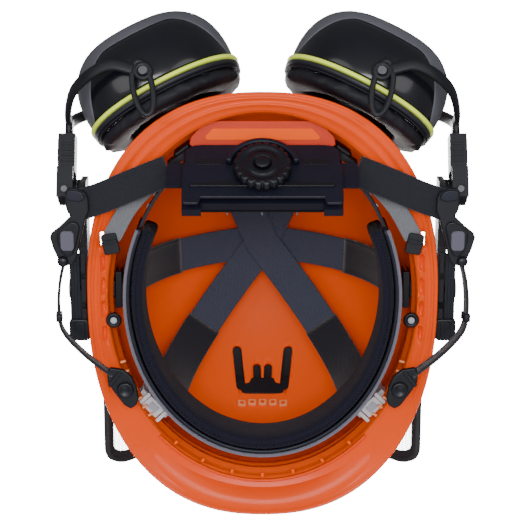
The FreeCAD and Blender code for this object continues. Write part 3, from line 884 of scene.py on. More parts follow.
def build_fork(side, sign):
    """Flat spring stem that splits into two round tines, each ending in an oval loop."""
    style = ("bracket", "fork_" + side, "bracket_black")
    for up_sign, label in ((1, "upper"), (-1, "lower")):
        knots = ((126.6, 20, 2.2), (126.6, 44, 2.2), (126.2, 51, 13), (121, 59.5, 30), (110, 66.5, 42.5),
                 (96, 71.5, TINE_UP), (PIVOT_OUT + 6, PIVOT_ALONG + 1, TINE_UP))
        path = spline([mirrored(arm_point(x, along, up_sign * up), sign) for x, along, up in knots], 8)
        sweep(f"muff_tine_{label}_{side}", path, ARM_ALONG, round_section(3.7, 2.1, 20, 3.4), *style)
        loop = side_ring(40, lambda c, s: (6.2 * c + 3.0 * s, -11 + 17.5 * s), up_sign, sign)
        sweep(f"muff_loop_{label}_{side}", loop, ARM_UP, round_section(1.7, 1.9, 12, 3), *style,
              closed=True)
        eye = side_ring(28, lambda c, s: (4.6 * c, 4.6 * s), up_sign, sign)
        sweep(f"muff_eye_{label}_{side}", eye, ARM_UP, round_section(1.75, 1.7, 12, 3), *style,
              closed=True)
    stem = slab("muff_stem_" + side, (4.4, 16, 2), 4.6,
                arm_frame(126.6, 33, 0, sign) @ spin(90, "Y") @ shift(0, 0, -2.3), *style, 0.7)
    for k in range(5):
        slab(f"stem_rib_{k}_{side}", (3.2, 0.7, 0.5), 5.0,
             arm_frame(126.6, 40 - 2.6 * k, 0, sign) @ spin(90, "Y") @ shift(0, 0, -2.5), *style, 0.25)
    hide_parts("muff_fork_" + side)


def dress_node(name, material, width, segments=2):
    """Give a CAD node its finish and rounded edges, width in millimetres."""
    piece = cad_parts[name]
    piece.data.materials.clear()
    piece.data.materials.append(MATERIALS[material])
    bevel(piece, width * MM, segments, 28)
    even_normals(piece)


def build_swing_socket(side, sign):
    """Rounded socket round the fork stem, with grip ribs across its underside."""
    dress_node("muff_swing_block_" + side, "bracket", 1.9, 4)
    for k in range(4):
        slab(f"socket_rib_{k}_{side}", (4.2, 0.8, 0.6), 0.9, arm_frame(126.5, 20 + 3.6 * k, -7.7, sign),
             "bracket", "swing_" + side, "bracket_black", 0.3)


def build_arm_joints(side, sign):
    """Details of the knuckle and its spring block."""
    axle = Matrix.Translation(mirrored(KNUCKLE, sign)) @ spin(90, "Y")
    for k, (radius, lift, depth) in enumerate(((6.6, 3.9, 1.0), (4.6, 4.6, 0.7))):
        place = axle @ shift(0, 0, sign * lift - (depth if sign < 0 else 0))
        plate(f"axle_cap_{k}_{side}", round_section(radius, radius, 32), depth, place, "knob",
              "knuckle_" + side, "bracket_black", 0.3)
    for up_sign, label, sunk in ((1, "up", 0.2), (-1, "low", 0.6)):
        place = arm_frame(128, 0, up_sign * 11.4, sign) @ shift(0, 0, -sunk)
        plate(f"swing_pin_{label}_{side}", round_section(2.2, 2.2, 20), 0.8, place, "steel",
              "swing_" + side, "screw_steel", 0.2)
    ribs = arm_frame(133, 27, 0, sign) @ spin(90, "Y")
    for k in (-1, 0, 1):
        place = ribs @ shift(k * 3.6, 0, 0 if sign > 0 else -0.6)
        slab(f"swing_rib_{k + 1}_{side}", (0.8, 8, 0.6), 0.6, place, "bracket", "swing_" + side,
             "bracket_black", 0.2)


for side, sign in SIDES:
    build_fork(side, sign)
    build_arm_joints(side, sign)
    dress_node("muff_knuckle_" + side, "bracket", 1.2, 3)
    build_swing_socket(side, sign)
    dress_node("muff_pivot_pins_" + side, "steel", 0.4)


# ---- crown webbing --------------------------------------------------------------------
STRAP_FOOT = 29.5 * MM
BAND_Y = 1 * MM
HANGERS = {"front": (-45.5, 105), "side": (1, 96), "rear": (58, 96)}    # plan angle and reach


def arch_path(start, end, crown, count=26):
    """Strap path between two plan points, steep at both ends, over a crown height."""
    middle, points = Vector((0, 8 * MM, crown)), []
    for i in range(count + 1):
        u = -1 + 2 * i / count
        foot = end if u > 0 else start
        t = abs(u) * math.pi / 2
        out = math.sin(t)
        points.append(Vector((middle.x + (foot.x - middle.x) * out, middle.y + (foot.y - middle.y) * out,
                              STRAP_FOOT + (crown - STRAP_FOOT) * math.cos(t))))
    return points


def plan(angle):
    """Where a strap leaves the headband at a plan angle."""
    a = math.radians(angle)
    return Vector((88 * MM * math.cos(a), 106 * MM * math.sin(a), 0))


def crown_strap(node, angle_a, angle_b, crown):
    """Webbing over the crown with a sleeve and a stitched seam at each end that shows."""
    path = arch_path(plan(angle_a), plan(angle_b), crown * MM)
    run = path[-1] - path[0]
    wide = Vector((run.x, run.y, 0)).cross(UP)
    piece = sweep(node + "_webbing", path, wide, strap_section(24, 1.4), "webbing", "helmet", "webbing")
    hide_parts(node)
    for end, label in ((1, "far"), (-1, "near")):
        if angle_b in (66, 114) and end == 1:
            continue    # the rear ends carry no sleeve
        sleeve = spline(path[-8:] if end > 0 else path[:8], 3)
        section = [(u * 1.09, v * 2.2) for u, v in strap_section(23.4, 1.4)]
        sweep(f"{node}_sleeve_{label}", sleeve, wide, section, *STRAP_STYLE)
        seam = sleeve[3 if end > 0 else -4]
        sweep(f"{node}_stitch_{label}", [seam + wide.normalized() * k * MM for k in range(-10, 11, 2)],
              UP, round_section(0.35, 2.0, 8), *THREAD_STYLE)


crown_strap("crown_strap_left_front", -44, 114, 117)
crown_strap("crown_strap_right_front", 224, 66, 114.6)
crown_strap("crown_strap_side", 1, 179, 119.4)


# ---- hanger clips -----------------------------------------------------------------------
def clip_frame(name, sign):
    """Frame of a hanger clip: X outward, Y round the shell, Z up."""
    angle, reach = HANGERS[name]
    return ring_frame(angle if sign > 0 else 180 - angle, reach, 110, 0, 0)


def upright(frame_matrix, out, around, up):
    """Matrix for a plate that stands in the clip's own round-and-up plane."""
    stand = Matrix(((0, 0, 1), (1, 0, 0), (0, 1, 0))).to_4x4()
    return frame_matrix @ shift(out, around, up) @ stand


def clip_outline():
    """Upright wall of a clip: chamfered at the foot, rounded at the top."""
    return both_halves([(10.8, -7), (12.4, -5.8), (13, -3.5), (13, 5), (12.2, 6.8), (10.6, 7.2)])


def build_clip(name, sign, side):
    """Double walled clip with a hook that goes up behind the shell's ledge."""
    place = clip_frame(name, sign)
    # the front clip takes the lighter grey, which is partly painted light
    style = TAB_STYLE if name == "front" else ("bracket", "helmet", "clip_grey")
    inner = plate(f"clip_{name}_inner_{side}", clip_outline(), 1.2, upright(place, -3.0, 0, 21.2), *style,
                  0.35)
    plate(f"clip_{name}_outer_{side}", clip_outline(), 1.1, upright(place, 0.4, 0, 21.2), *style, 0.35)
    slab(f"clip_{name}_foot_{side}", (2.2, 12.4, 0.8), 3.2, place @ shift(-0.8, 0, 14.0), *style, 0.5)
    slab(f"clip_{name}_hook_{side}", (6, 9, 1.5), 2.2, upright(place, 1.6, 0, 23.5), *style, 0.5)
    for k, label in ((-1, "a"), (1, "b")):
        slab(f"clip_{name}_rib_{label}_{side}", (0.6, 5, 0.5), 0.8, upright(place, -3.6, k * 7, 21.2),
             *style, 0.2)
    return inner


def build_front_tab(sign, side):
    """Latch tab that bridges from the front clip to the wall, with two raised edges; its light grey is partly
    painted light.
    """
    place = clip_frame("front", sign) @ shift(-0.4, 0, 8.0) @ spin(180, "X")
    slab("front_tab_" + side, (4.6, 6.6, 1.4), 2.2, place @ shift(0, 0, -2.2), *TAB_STYLE, 0.5)
    for k in (-1, 1):
        slab(f"front_tab_edge_{'a' if k < 0 else 'b'}_{side}", (5.6, 1.3, 0.9), 1.6,
             place @ shift(0, k * 8.4, -0.6), *TAB_STYLE, 0.4)
    slab("front_tab_bar_" + side, (2.4, 3.6, 0.8), 0.8, place @ shift(0, 0, -0.2), "clip", "helmet",
         "clip_grey", 0.25)
    slab("front_tab_stalk_" + side, (2.0, 4.4, 0.8), 6.0, place @ shift(0, 0, -8.0), "clip", "helmet",
         "clip_grey", 0.4)


for name in HANGERS:
    inner_walls = [build_clip(name, sign, side) for side, sign in SIDES]
    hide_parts("hanger_clips_" + name)
for side, sign in SIDES:
    build_front_tab(sign, side)


# ---- headband ---------------------------------------------------------------------------
def band_arc(a, b, z, end_y, steps=110):
    """Arc of an ellipse round the front, from left to right, stopping at end_y, in millimetres."""
    last = math.asin((end_y * MM - BAND_Y) / (b * MM))
    first, points = math.pi - last, []
    span = 2 * math.pi - (first - last)
    for i in range(steps + 1):
        t = last - span * i / steps
        points.append(Vector((a * MM * math.cos(t), BAND_Y + b * MM * math.sin(t), z * MM)))
    return points


def band_section(wall, height):
    """Thin band with rolled edges; across is vertical. Sizes in millimetres."""
    h, w, lip = wall * MM / 2, height * MM / 2, 0.7 * MM
    half = [(-w, h * 0.6), (-w + 0.5 * MM, h + lip), (-w + 1.6 * MM, h + lip), (-w + 2.6 * MM, h)]
    top = half + [(0, h)] + [(-u, v) for u, v in reversed(half)]
    return top + [(u, -v) for u, v in reversed(top)]


def build_headband():
    """Front band with two raised ribs and the lilac piping on its lower edge."""
    band = sweep("headband", band_arc(88, 106, 10, 48), UP, band_section(2.2, 34), *BAND_STYLE)
    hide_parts("headband_front")
    edge = sweep("headband_piping", band_arc(89.6, 107.6, -8.0, 48), UP, round_section(1.5, 1.1, 12),
                 "edge", "helmet", "edge_lilac")
    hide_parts("headband_edge")
    for k, (a, b, z) in enumerate(((89.4, 107.4, 22), (89.4, 107.4, 1))):
        sweep(f"band_rib_{k}", band_arc(a, b, z, 44), UP, round_section(1.2, 0.5, 8), *BAND_STYLE)


def build_sweatband():
    """Foam liner: puffed section that fills and slackens along its length, with a stitched seam."""
    rng = random.Random(4)
    bulges = [rng.uniform(-0.35, 0.35) for _ in range(24)]

    def fullness(t):
        at = t * (len(bulges) - 1)
        k = min(int(at), len(bulges) - 2)
        return 1 + 0.06 * (bulges[k] * (1 - at + k) + bulges[k + 1] * (at - k))
    path = band_arc(81.6, 99.6, 8.8, 46, 150)
    piece = sweep("sweatband_liner", path, UP, round_section(16.5, 4.6, 36, 3.4), *LINER_STYLE,
                  twist=fullness)
    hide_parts("sweatband_pad")
    for z, name in ((-8.2, "low"), (25.4, "high")):
        sweep("liner_seam_" + name, band_arc(83.6, 101.6, z, 45, 150), UP, round_section(0.8, 0.9, 10),
              *LINER_STYLE)


build_headband()
build_sweatband()


# ---- visor -----------------------------------------------------------------------------
VISOR_PIVOT_Z = 25 * MM
VISOR_RADIUS, VISOR_BEND = 151 * MM, 132 * MM
VISOR_HALF = 118 * MM
VISOR_BACK, VISOR_FRONT = 8 * MM, -165 * MM


def visor_height(x, grow=0.0):
    """Height of the raised mesh at a distance from the middle."""
    bend = VISOR_BEND + grow
    return VISOR_PIVOT_Z + VISOR_RADIUS - VISOR_BEND + math.sqrt(max(bend * bend - x * x, 0.0))


def frame_outline(inset, corner, steps=8):
    """Rounded rectangle round the mesh, in plan, with points close enough to follow the bend."""
    half_x, y0, y1 = VISOR_HALF - inset, VISOR_FRONT + inset, VISOR_BACK - inset
    mid, half_y = (y0 + y1) / 2, (y1 - y0) / 2
    corners = [Vector((x, mid + y, 0)) for x, y in rounded_outline(half_x, half_y, corner, steps)]
    out = []
    for a, b in zip(corners, corners[1:] + corners[:1]):
        count = max(1, int((b - a).length / (6 * MM)))
        out += [a.lerp(b, k / count) for k in range(count)]
    return out


def build_visor_frame():
    """Rubber edge with a lip and a groove, bent over the crown."""
    def bent(points):
        return [Vector((p.x, p.y, visor_height(p.x))) for p in points]
    section = [(-4.3, -1.6), (-4.3, 1.4), (-3.6, 2.2), (-1.2, 2.3), (-0.6, 1.5), (2.8, 1.4), (4.2, 0.7),
               (4.4, 0), (4.2, -0.7), (2.8, -1.4), (-0.6, -1.5), (-1.2, -2.3), (-3.6, -2.3)]
    path = bent(frame_outline(4.5 * MM, 13 * MM))
    middle = Vector((0, (VISOR_FRONT + VISOR_BACK) / 2, 0))
    verts, count = [], len(path)
    for i, p in enumerate(path):
        along = (path[(i + 1) % count] - path[i - 1]).normalized()
        slope = Vector((p.x, 0, math.sqrt(VISOR_BEND ** 2 - p.x ** 2))).normalized()
        inward = slope.cross(along).normalized()
        if inward.dot(middle - Vector((p.x, p.y, 0))) < 0:
            inward = -inward
        verts += [p + inward * u * MM + slope * v * MM for u, v in section]
    faces = grid_faces(count, len(section), True, True)
    piece = make_object("visor_edge", verts, faces, "rubber", "visor", "visor_rubber")
    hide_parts("visor_frame")


def add_wire(points, radius, normals, verts, faces):
    """Four sided wire along points, added to a growing mesh."""
    start = len(verts)
    for i, p in enumerate(points):
        along = (points[min(i + 1, len(points) - 1)] - points[max(i - 1, 0)]).normalized()
        up = normals[i]
        side = along.cross(up).normalized()
        verts += [p + up * radius, p + side * radius, p - up * radius, p - side * radius]
    for i in range(len(points) - 1):
        a = start + 4 * i
        for k in range(4):
            faces.append((a + k, a + (k + 1) % 4, a + 4 + (k + 1) % 4, a + 4 + k))


def build_wire_mesh():
    """Woven wire: bent wires across and straight wires fore and aft, one over the other."""
    verts, faces = [], []
    half, y0, y1 = VISOR_HALF - 6 * MM, VISOR_FRONT + 6 * MM, VISOR_BACK - 6 * MM
    pitch, radius = 1.5 * MM, 0.25 * MM
    arc_half = math.asin(half / VISOR_BEND)
    count = int(2 * arc_half * VISOR_BEND / pitch)
    for i in range(count + 1):
        a = -arc_half + 2 * arc_half * i / count
        x = VISOR_BEND * math.sin(a)
        normal = Vector((math.sin(a), 0, math.cos(a)))
        points = [Vector((x, y, visor_height(x))) + normal * 0.2 * MM for y in (y0, y1)]
        add_wire(points, radius, [normal] * 2, verts, faces)
    rows, bends = int((y1 - y0) / pitch), 40
    for r in range(rows + 1):
        y = y0 + (y1 - y0) * r / rows
        points, normals = [], []
        for k in range(bends + 1):
            a = -arc_half + 2 * arc_half * k / bends
            normal = Vector((math.sin(a), 0, math.cos(a)))
            x = VISOR_BEND * math.sin(a)
            points.append(Vector((x, y, visor_height(x))) - normal * 0.2 * MM)
            normals.append(normal)
        add_wire(points, radius, normals, verts, faces)
    piece = make_object("visor_wires", verts, faces, "wire", "visor", "wire_mesh", smooth=False)
    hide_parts("visor_mesh")


def build_visor_arm(side, sign):
    """Arm with a stiffening rib, from the pivot disc up to the frame's corner."""
    top = visor_height(VISOR_HALF)
    knots = [Vector((121.8 * MM, 0, VISOR_PIVOT_Z + 7 * MM)),
             Vector((121.4 * MM, 0, VISOR_PIVOT_Z + 40 * MM)),
             Vector((121.2 * MM, -3 * MM, top - 12 * MM)),
             Vector((120.4 * MM, -6 * MM, top + 7 * MM))]
    path = [mirrored(p, sign) for p in spline(knots, 8)]
    arm = sweep("visor_arm_" + side + "_blade", path, Vector((0, 1, 0)), round_section(7.4, 1.6, 20, 5),
                *VISOR_STYLE)
    sweep("visor_arm_" + side + "_rib", [p + Vector((sign * 1.5 * MM, 0, 0)) for p in path[3:-4]],
          Vector((0, 1, 0)), round_section(1.6, 0.9, 10, 2.6), *VISOR_STYLE)
    disc = Matrix.Translation((sign * 120.1 * MM - (3.3 * MM if sign < 0 else 0), 0, VISOR_PIVOT_Z)) \
        @ spin(90, "Y")
    plate("visor_disc_" + side, round_section(13, 13, 48), 3.3, disc, *VISOR_STYLE, 0.7)
    for k in range(10):
        a = 2 * math.pi * k / 10
        spot = disc @ Matrix.Translation((10.3 * MM * math.cos(a), 10.3 * MM * math.sin(a),
                                          3.1 * MM if sign > 0 else -0.4 * MM))
        plate(f"visor_detent_{k}_{side}", round_section(1.2, 1.2, 12), 0.6, spot, *VISOR_STYLE, 0.15)
    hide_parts("visor_arm_" + side)


build_visor_frame()
build_wire_mesh()
for side, sign in SIDES:
    build_visor_arm(side, sign)


# ---- nape unit ---------------------------------------------------------------------------
NAPE_CENTRE = mm(0, 83, -12)
NAPE_TILT = math.radians(-37)
NAPE = Matrix.Translation(NAPE_CENTRE) @ Matrix.Rotation(NAPE_TILT, 4, "X")
# plates are drawn in XY and lifted along Z: this turns Z to the plate's outward direction
NAPE_FACE = NAPE @ Matrix(((1, 0, 0), (0, 0, 1), (0, 1, 0))).to_4x4()


def turned(name, profile, place, material, body, slot, steps=96, flutes=0, depth=0.0):
    """Round piece from (radius, height) pairs in millimetres; flutes dent the widest rings."""
    widest, verts = max(r for r, _ in profile), []
    for r, z in profile:
        for i in range(steps):
            t = 2 * math.pi * i / steps
            dent = depth * max(0.0, math.cos(flutes * t)) ** 2 if flutes and r > widest * 0.93 else 0.0
            verts.append(place @ (Vector(((r - dent) * math.cos(t), (r - dent) * math.sin(t), z)) * MM))
    faces = grid_faces(len(profile), steps)
    last = (len(profile) - 1) * steps
    faces += [tuple(range(steps))[::-1], tuple(last + i for i in range(steps))]
    return make_object(name, verts, faces, material, body, slot)


def nape_outline():
    """Plate with rounded upper corners, feet at the lower ones and a step between them."""
    return both_halves([(38.5, -22), (39.5, -26), (40.5, -27), (48.5, -27), (50.1, -26), (50.5, -24),
                        (50.5, 4), (49, 7), (49, 15), (47.5, 19), (43.5, 21.4), (38.5, 22)])


def build_nape():
    """Cover plate with its windows, the guard arc, the ratchet knob and its cap."""
    cover = plate("nape_cover_plate", nape_outline(), 2.4, NAPE_FACE @ shift(0, 0, 5.2), *BAND_STYLE, 0.9)
    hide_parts("nape_cover")
    plate("nape_ridge", both_halves([(45, -14), (46, -12.5), (45, -11), (24, -10)]), 1.6,
          NAPE_FACE @ shift(0, 0, 7.2), "knob", "helmet", "band_black", 0.5)
    for x in (-34, 34):
        slab(f"nape_window_{'l' if x > 0 else 'r'}", (9, 2.4, 1.6), 0.7, NAPE_FACE @ shift(x, 7, 7.3),
             "bracket", "helmet", "band_black", 0.25)
        for k in range(5):
            slab(f"nape_mark_{k}_{'l' if x > 0 else 'r'}", (0.35, 1.7, 0.3), 0.5,
                 NAPE_FACE @ shift(x + (k - 2) * 3.2, 7, 7.8), "knob", "helmet", "band_black", 0.12)
    guard = []
    for i in range(41):
        t = math.radians(12 + 156 * i / 40)
        guard.append(NAPE_FACE @ (Vector((22 * math.cos(t), 22 * math.sin(t), 9.6)) * MM))
    sweep("nape_guard", guard, NAPE_FACE.to_3x3() @ UP, round_section(2.9, 1.9, 18, 3.2), *BAND_STYLE)
    grip = ((6.4, 5.0), (6.4, 7.6), (15.6, 7.9), (17.6, 8.2), (18.4, 9.0), (18.5, 11), (18.3, 13.2),
            (17.4, 14.6), (15.6, 15.2), (13.8, 15.2), (13.0, 14.2), (10.4, 13.9), (9.6, 14.9),
            (8.0, 15.3), (6.2, 15.3), (5.6, 14.4), (2.1, 14.2), (2.1, 13.5))
    knob = turned("ratchet_knob_grip", grip, NAPE_FACE, "knob", "knob", "knob_black", 160, 20, 1.7)
    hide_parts("ratchet_knob")
    cap = turned("knob_cap_disc",
                 ((0.6, 15.0), (4.6, 15.2), (5.0, 15.8), (4.6, 16.6), (3.4, 17.1), (0.6, 17.2)),
                 NAPE_FACE, "bracket", "helmet", "knob_black", 48)
    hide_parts("knob_cap")
    for name in ("nape_housing", "rack_tail_left", "rack_tail_right"):
        dress_node(name, "band", 0.7)
    dress_node("ratchet_pinion", "knob", 0.2)


def build_nape_pad():
    """Foam pad on the head's side of the housing, puffed and quilted."""
    inward = NAPE.to_3x3() @ Vector((0, -1, 0))
    puffed("nape_cushion", "nape_pad", "helmet", "sweatband", 3.4, 2.0,
           lambda p: (p - NAPE_CENTRE).dot(inward) < 7 * MM)
    for x in (-22, 0, 22):
        line = [NAPE @ mm(x + 0.6 * math.sin(k), -12.2, -20 + 40 * k / 24) for k in range(25)]
        sweep(f"nape_stitch_{x + 22}", line, Vector((1, 0, 0)), round_section(0.5, 0.5, 8), *THREAD_STYLE)


def build_side_arm(side, sign):
    """Rear arm of the headband with a row of pale index pegs."""
    dress_node("headband_side_arm_" + side, "band", 0.5)
    for k in range(4):
        angle = 34 + 5 * k if sign > 0 else 146 - 5 * k
        place = upright(ring_frame(angle, 89.3, 107.3, 1, 6.5), 0, 0, 0)
        plate(f"index_peg_{k}_{side}", round_section(1.5, 1.5, 14), 0.7, place, "clip", "helmet",
              "band_black", 0.2)


build_nape()
build_nape_pad()
for side, sign in SIDES:
    build_side_arm(side, sign)


# ---- chin strap ---------------------------------------------------------------------------
def ground(x, y, z, sign):
    """Flat frame for plates seen from below; local Z points down at the viewer."""
    return shift(sign * x, y, z) @ spin(180, "X")


def hung_plate(name, points, thickness, z, style, edge, sign):
    """Plate under the rim, from an outline in the part's own x and y, in millimetres."""
    outline = [(sign * x * MM, -y * MM) for x, y in points]
    return plate(name, outline, thickness, ground(0, 0, z, sign), *style, edge)


def build_chin_strap(side, sign):
    """Rear leg, divider with a pale lilac patch that is painted highlight, front leg and the anchor under the
    rim.
    """
    def route(*points):
        return [mirrored(mm(*p), sign) for p in points]
    path = spline(route((60, 86, -2), (82, 78, -7), (101, 70, -7.4), (118, 64, -7.6)), 8)
    rear = sweep("chin_webbing_rear_" + side, path, mirrored(Vector((0.5, 0.85, 0.1)), sign),
                 strap_section(20, 1.5), *STRAP_STYLE)
    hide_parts("chin_strap_rear_" + side)
    outline = [(111, 70), (113, 74), (118, 76.4), (124, 76.2), (125.4, 74), (125.4, 64), (124.2, 60.4),
               (122.6, 58.2), (124.4, 56.4), (129.6, 51.4), (135.2, 47), (136.2, 44), (134.4, 37),
               (131.2, 29.4), (129.4, 26), (126, 25.2), (121.8, 26.6), (119.4, 31), (116.4, 43),
               (113, 56), (110.5, 62)]
    body = hung_plate("divider_" + side, outline, 3.6, -8.6, BRACKET_STYLE, 1.1, sign)
    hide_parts("strap_divider_" + side)
    bar = [(112.5, 70), (114, 74), (118, 75.6), (123.4, 75.4), (124.8, 73.4), (124.6, 69.5),
           (122, 68.4), (116, 68)]
    hung_plate("divider_bar_" + side, bar, 2.6, -11.6, ("band", "helmet", "bracket_black"), 0.9, sign)
    tongue = [(116.5, 51), (118.6, 54.5), (122, 55), (126, 52.4), (131, 48), (131.4, 42), (128.8, 35),
              (125.4, 31.5), (121.8, 33), (119, 40)]
    hung_plate("divider_tongue_" + side, tongue, 2.2, -11.8, KNOB_STYLE, 1.0, sign)
    # pale lilac patch on the black divider: painted highlight
    slab("divider_painted_highlight_" + side, (4.2, 6.4, 2.4), 1.6, ground(124.8, 42.5, -13.4, sign), "edge",
         "helmet", "edge_lilac", 0.6)
    turned("divider_stud_" + side, ((0.4, 0), (3.4, 0), (3.6, 0.8), (3.2, 2.4), (2.2, 3.2), (0.4, 3.4)),
           ground(128.2, 28.5, -11.6, sign), *KNOB_STYLE, 32)
    leg = spline(route((127.4, 29, -8.8), (130.8, 14, -9.4), (132, -3, -10.2), (129.5, -18, -11.2),
                       (115.5, -34, -12.2), (98, -48, -13)), 9)
    front = sweep("chin_webbing_front_" + side, leg, Vector((0.1, 0, 1)), strap_section(9.5, 1.5),
                  *STRAP_STYLE)
    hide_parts("chin_strap_front_" + side)
    sweep("chin_keeper_" + side, leg[20:24], Vector((0.1, 0, 1)),
          [(u * 1.15, v * 2.2) for u, v in strap_section(9.5, 1.5)], *BRACKET_STYLE)
    anchor = [(99.5, -42), (101.5, -46), (101, -52.5), (97, -59), (90.5, -68), (86.5, -70.5), (82.5, -68),
              (81, -63.5), (82.5, -55), (85.5, -48), (91, -43.5)]
    base = hung_plate("rim_anchor_" + side, anchor, 3.6, -13.2, BRACKET_STYLE, 1.1, sign)
    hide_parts("front_anchor_" + side)
    turned("anchor_button_" + side,
           ((0.4, 0), (5.2, 0), (5.5, 0.8), (5.0, 2.2), (3.8, 2.6), (3.2, 2.0), (0.4, 1.8)),
           ground(89.5, -57, -16.6, sign), *KNOB_STYLE, 40)
    slab("anchor_bar_" + side, (1.2, 6.4, 1), 1.6,
         ground(96.2, -49.5, -16.4, sign) @ spin(-38 * sign, "Z"), *BRACKET_STYLE, 0.5)


def build_inner_webbing(side, sign):
    """Light webbing that runs out beside the headband to a small dark clip."""
    path = spline([mirrored(mm(*p), sign) for p in ((66, 79, 20), (75, 73, 5), (86, 62, -4.5), (97, 43, -5))],
                  8)
    band = sweep("liner_webbing_" + side, path,
                 [mirrored(Vector(v), sign) for v in ((0.5, 0.55, 0.7), (0.6, 0.6, 0.5), (0.7, 0.7, 0.1))],
                 strap_section(12, 1.3), *THREAD_STYLE)
    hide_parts("inner_webbing_" + side)
    slab("liner_clip_" + side, (5.2, 6.8, 1.6), 2.6, ground(98, 38.5, -4.4, sign) @ spin(12 * sign, "Z"),
         *BRACKET_STYLE, 0.7)
    slab("liner_clip_bar_" + side, (4.4, 1.1, 0.9), 1.2,
         ground(98, 40, -6.9, sign) @ spin(12 * sign, "Z"), *KNOB_STYLE, 0.4)


for side, sign in SIDES:
    build_chin_strap(side, sign)
    build_inner_webbing(side, sign)


# ---- shell details and brackets -----------------------------------------------------------
def dome_frame(x, y, inset):
    """Matrix on the inner dome above (x, y), in millimetres: Z points down the inside normal."""
    x, y, inset = x * MM, y * MM, inset * MM
    a, b, c = DOME_A - inset, DOME_B - inset, CROWN_Z - WALL_Z - inset
    inside = max(0.0, 1 - (x / a) ** 2 - ((y - DOME_Y) / b) ** 2)
    at = Vector((x, y, WALL_Z + c * math.sqrt(inside)))
    normal = -Vector((x / a ** 2, (y - DOME_Y) / b ** 2, (at.z - WALL_Z) / c ** 2)).normalized()
    across = Vector((1, 0, 0))
    along = normal.cross(across).normalized()
    across = along.cross(normal).normalized()
    return frame_at(at, across, along, normal)


def build_vent_trim():
    """Dark W shaped joining bar behind the vents, and the teeth under it in a paler orange that is painted
    highlight.
    """
    base = dome_frame(0, -97.5, 3.2)
    outline = both_halves([(21, 4.6), (23.5, -1), (21.4, -11), (15.6, -9.4), (12.4, -3.4), (9.6, -4.4),
                           (7.8, -8.2)])
    plate("vent_bar", outline, 1.2, base, "bracket", "helmet", "shell_orange", 0.4)
    for k in range(5):
        place = dome_frame((k - 2) * 7.6, -105.5, 3.2)
        slab(f"vent_tooth_{k}", (3.0, 2.6, 1.3), 2.0, place, "shell_painted_highlight", "helmet", "shell_orange", 0.6)
        slab(f"vent_tooth_eye_{k}", (1.5, 1.1, 0.8), 0.4, place @ shift(0, 0, 1.8), *SHELL_STYLE, 0.15)


def build_vent_shutter():
    """Dark curved shutter that lies over the vents on the outside of the shell."""
    columns, rows = 25, 17
    verts = []
    for lift in (1.3, 2.6):
        for r in range(rows):
            for c in range(columns):
                u, v = -1 + 2 * c / (columns - 1), -1 + 2 * r / (rows - 1)
                x, y = 28 * u * (1 - 0.06 * v * v), -89 + 22.5 * v * (1 - 0.08 * u * u)
                edge = max(abs(u), abs(v)) > 0.999
                verts.append(dome_frame(x, y, 0) @ mm(0, 0, -(lift + 1.95) / 2 if edge else -lift))
    size = rows * columns
    faces = grid_faces(rows, columns, False)
    faces += [tuple(size + i for i in f) for f in faces]
    ring = list(range(columns))
    ring += [r * columns + columns - 1 for r in range(1, rows)]
    ring += [(rows - 1) * columns + c for c in range(columns - 2, -1, -1)]
    ring += [r * columns for r in range(rows - 2, 0, -1)]
    faces += [(a, b, b + size, a + size) for a, b in zip(ring, ring[1:] + ring[:1])]
    make_object("vent_shutter", verts, faces, *BRACKET_STYLE)


def build_rear_shelf():
    """Shallow moulded shelf inside the back of the shell, behind the nape unit; its deep red is painted
    shade.
    """
    outline = both_halves([(44, -99), (47, -101), (46, -106), (38.5, -114.5), (35, -116.4)])
    plate("rear_shelf", outline, 2.2, ground(0, 0, 8.6, 1), "shelf", "helmet", "shell_orange", 0.7)
    inset = both_halves([(36, -104), (37, -106), (32, -111.6)])
    plate("rear_shelf_step", inset, 1.0, ground(0, 0, 6.8, 1), "shell_inside_painted_light", "helmet", "shell_orange", 0.5)


def build_ledge_ribs():
    """Short moulded ribs round the foot of the wall, the side ones in a paler orange that is painted
    highlight, and a curb at the peak.
    """
    for k in range(7):
        for side, sign in SIDES:
            angle = -20 - 3.4 * k if sign > 0 else 200 + 3.4 * k
            slab(f"ledge_rib_{k}_{side}", (1.9, 0.8, 0.6), 1.5,
                 ring_frame(angle, 98, 121, -2, 1.2) @ spin(180, "X"), "shell_painted_highlight", "helmet",
                 "shell_orange", 0.4)
    for k in range(7):
        slab(f"front_rib_{k}", (1.5, 1.0, 0.7), 1.5,
             ring_frame(-54 - 12 * k, 98.5, 121.5, -2, 1.0) @ spin(180, "X"), "shell_inside_painted_light", "helmet",
             "shell_orange", 0.4)
    curb = []
    for i in range(61):
        a = math.radians(-48 - 84 * i / 60)
        curb.append(Vector((102.4 * MM * math.cos(a), DOME_Y + 125.4 * MM * math.sin(a), 0.2 * MM)))
    sweep("front_curb", curb, UP, round_section(1.6, 0.9, 12, 3), *SHELL_STYLE)


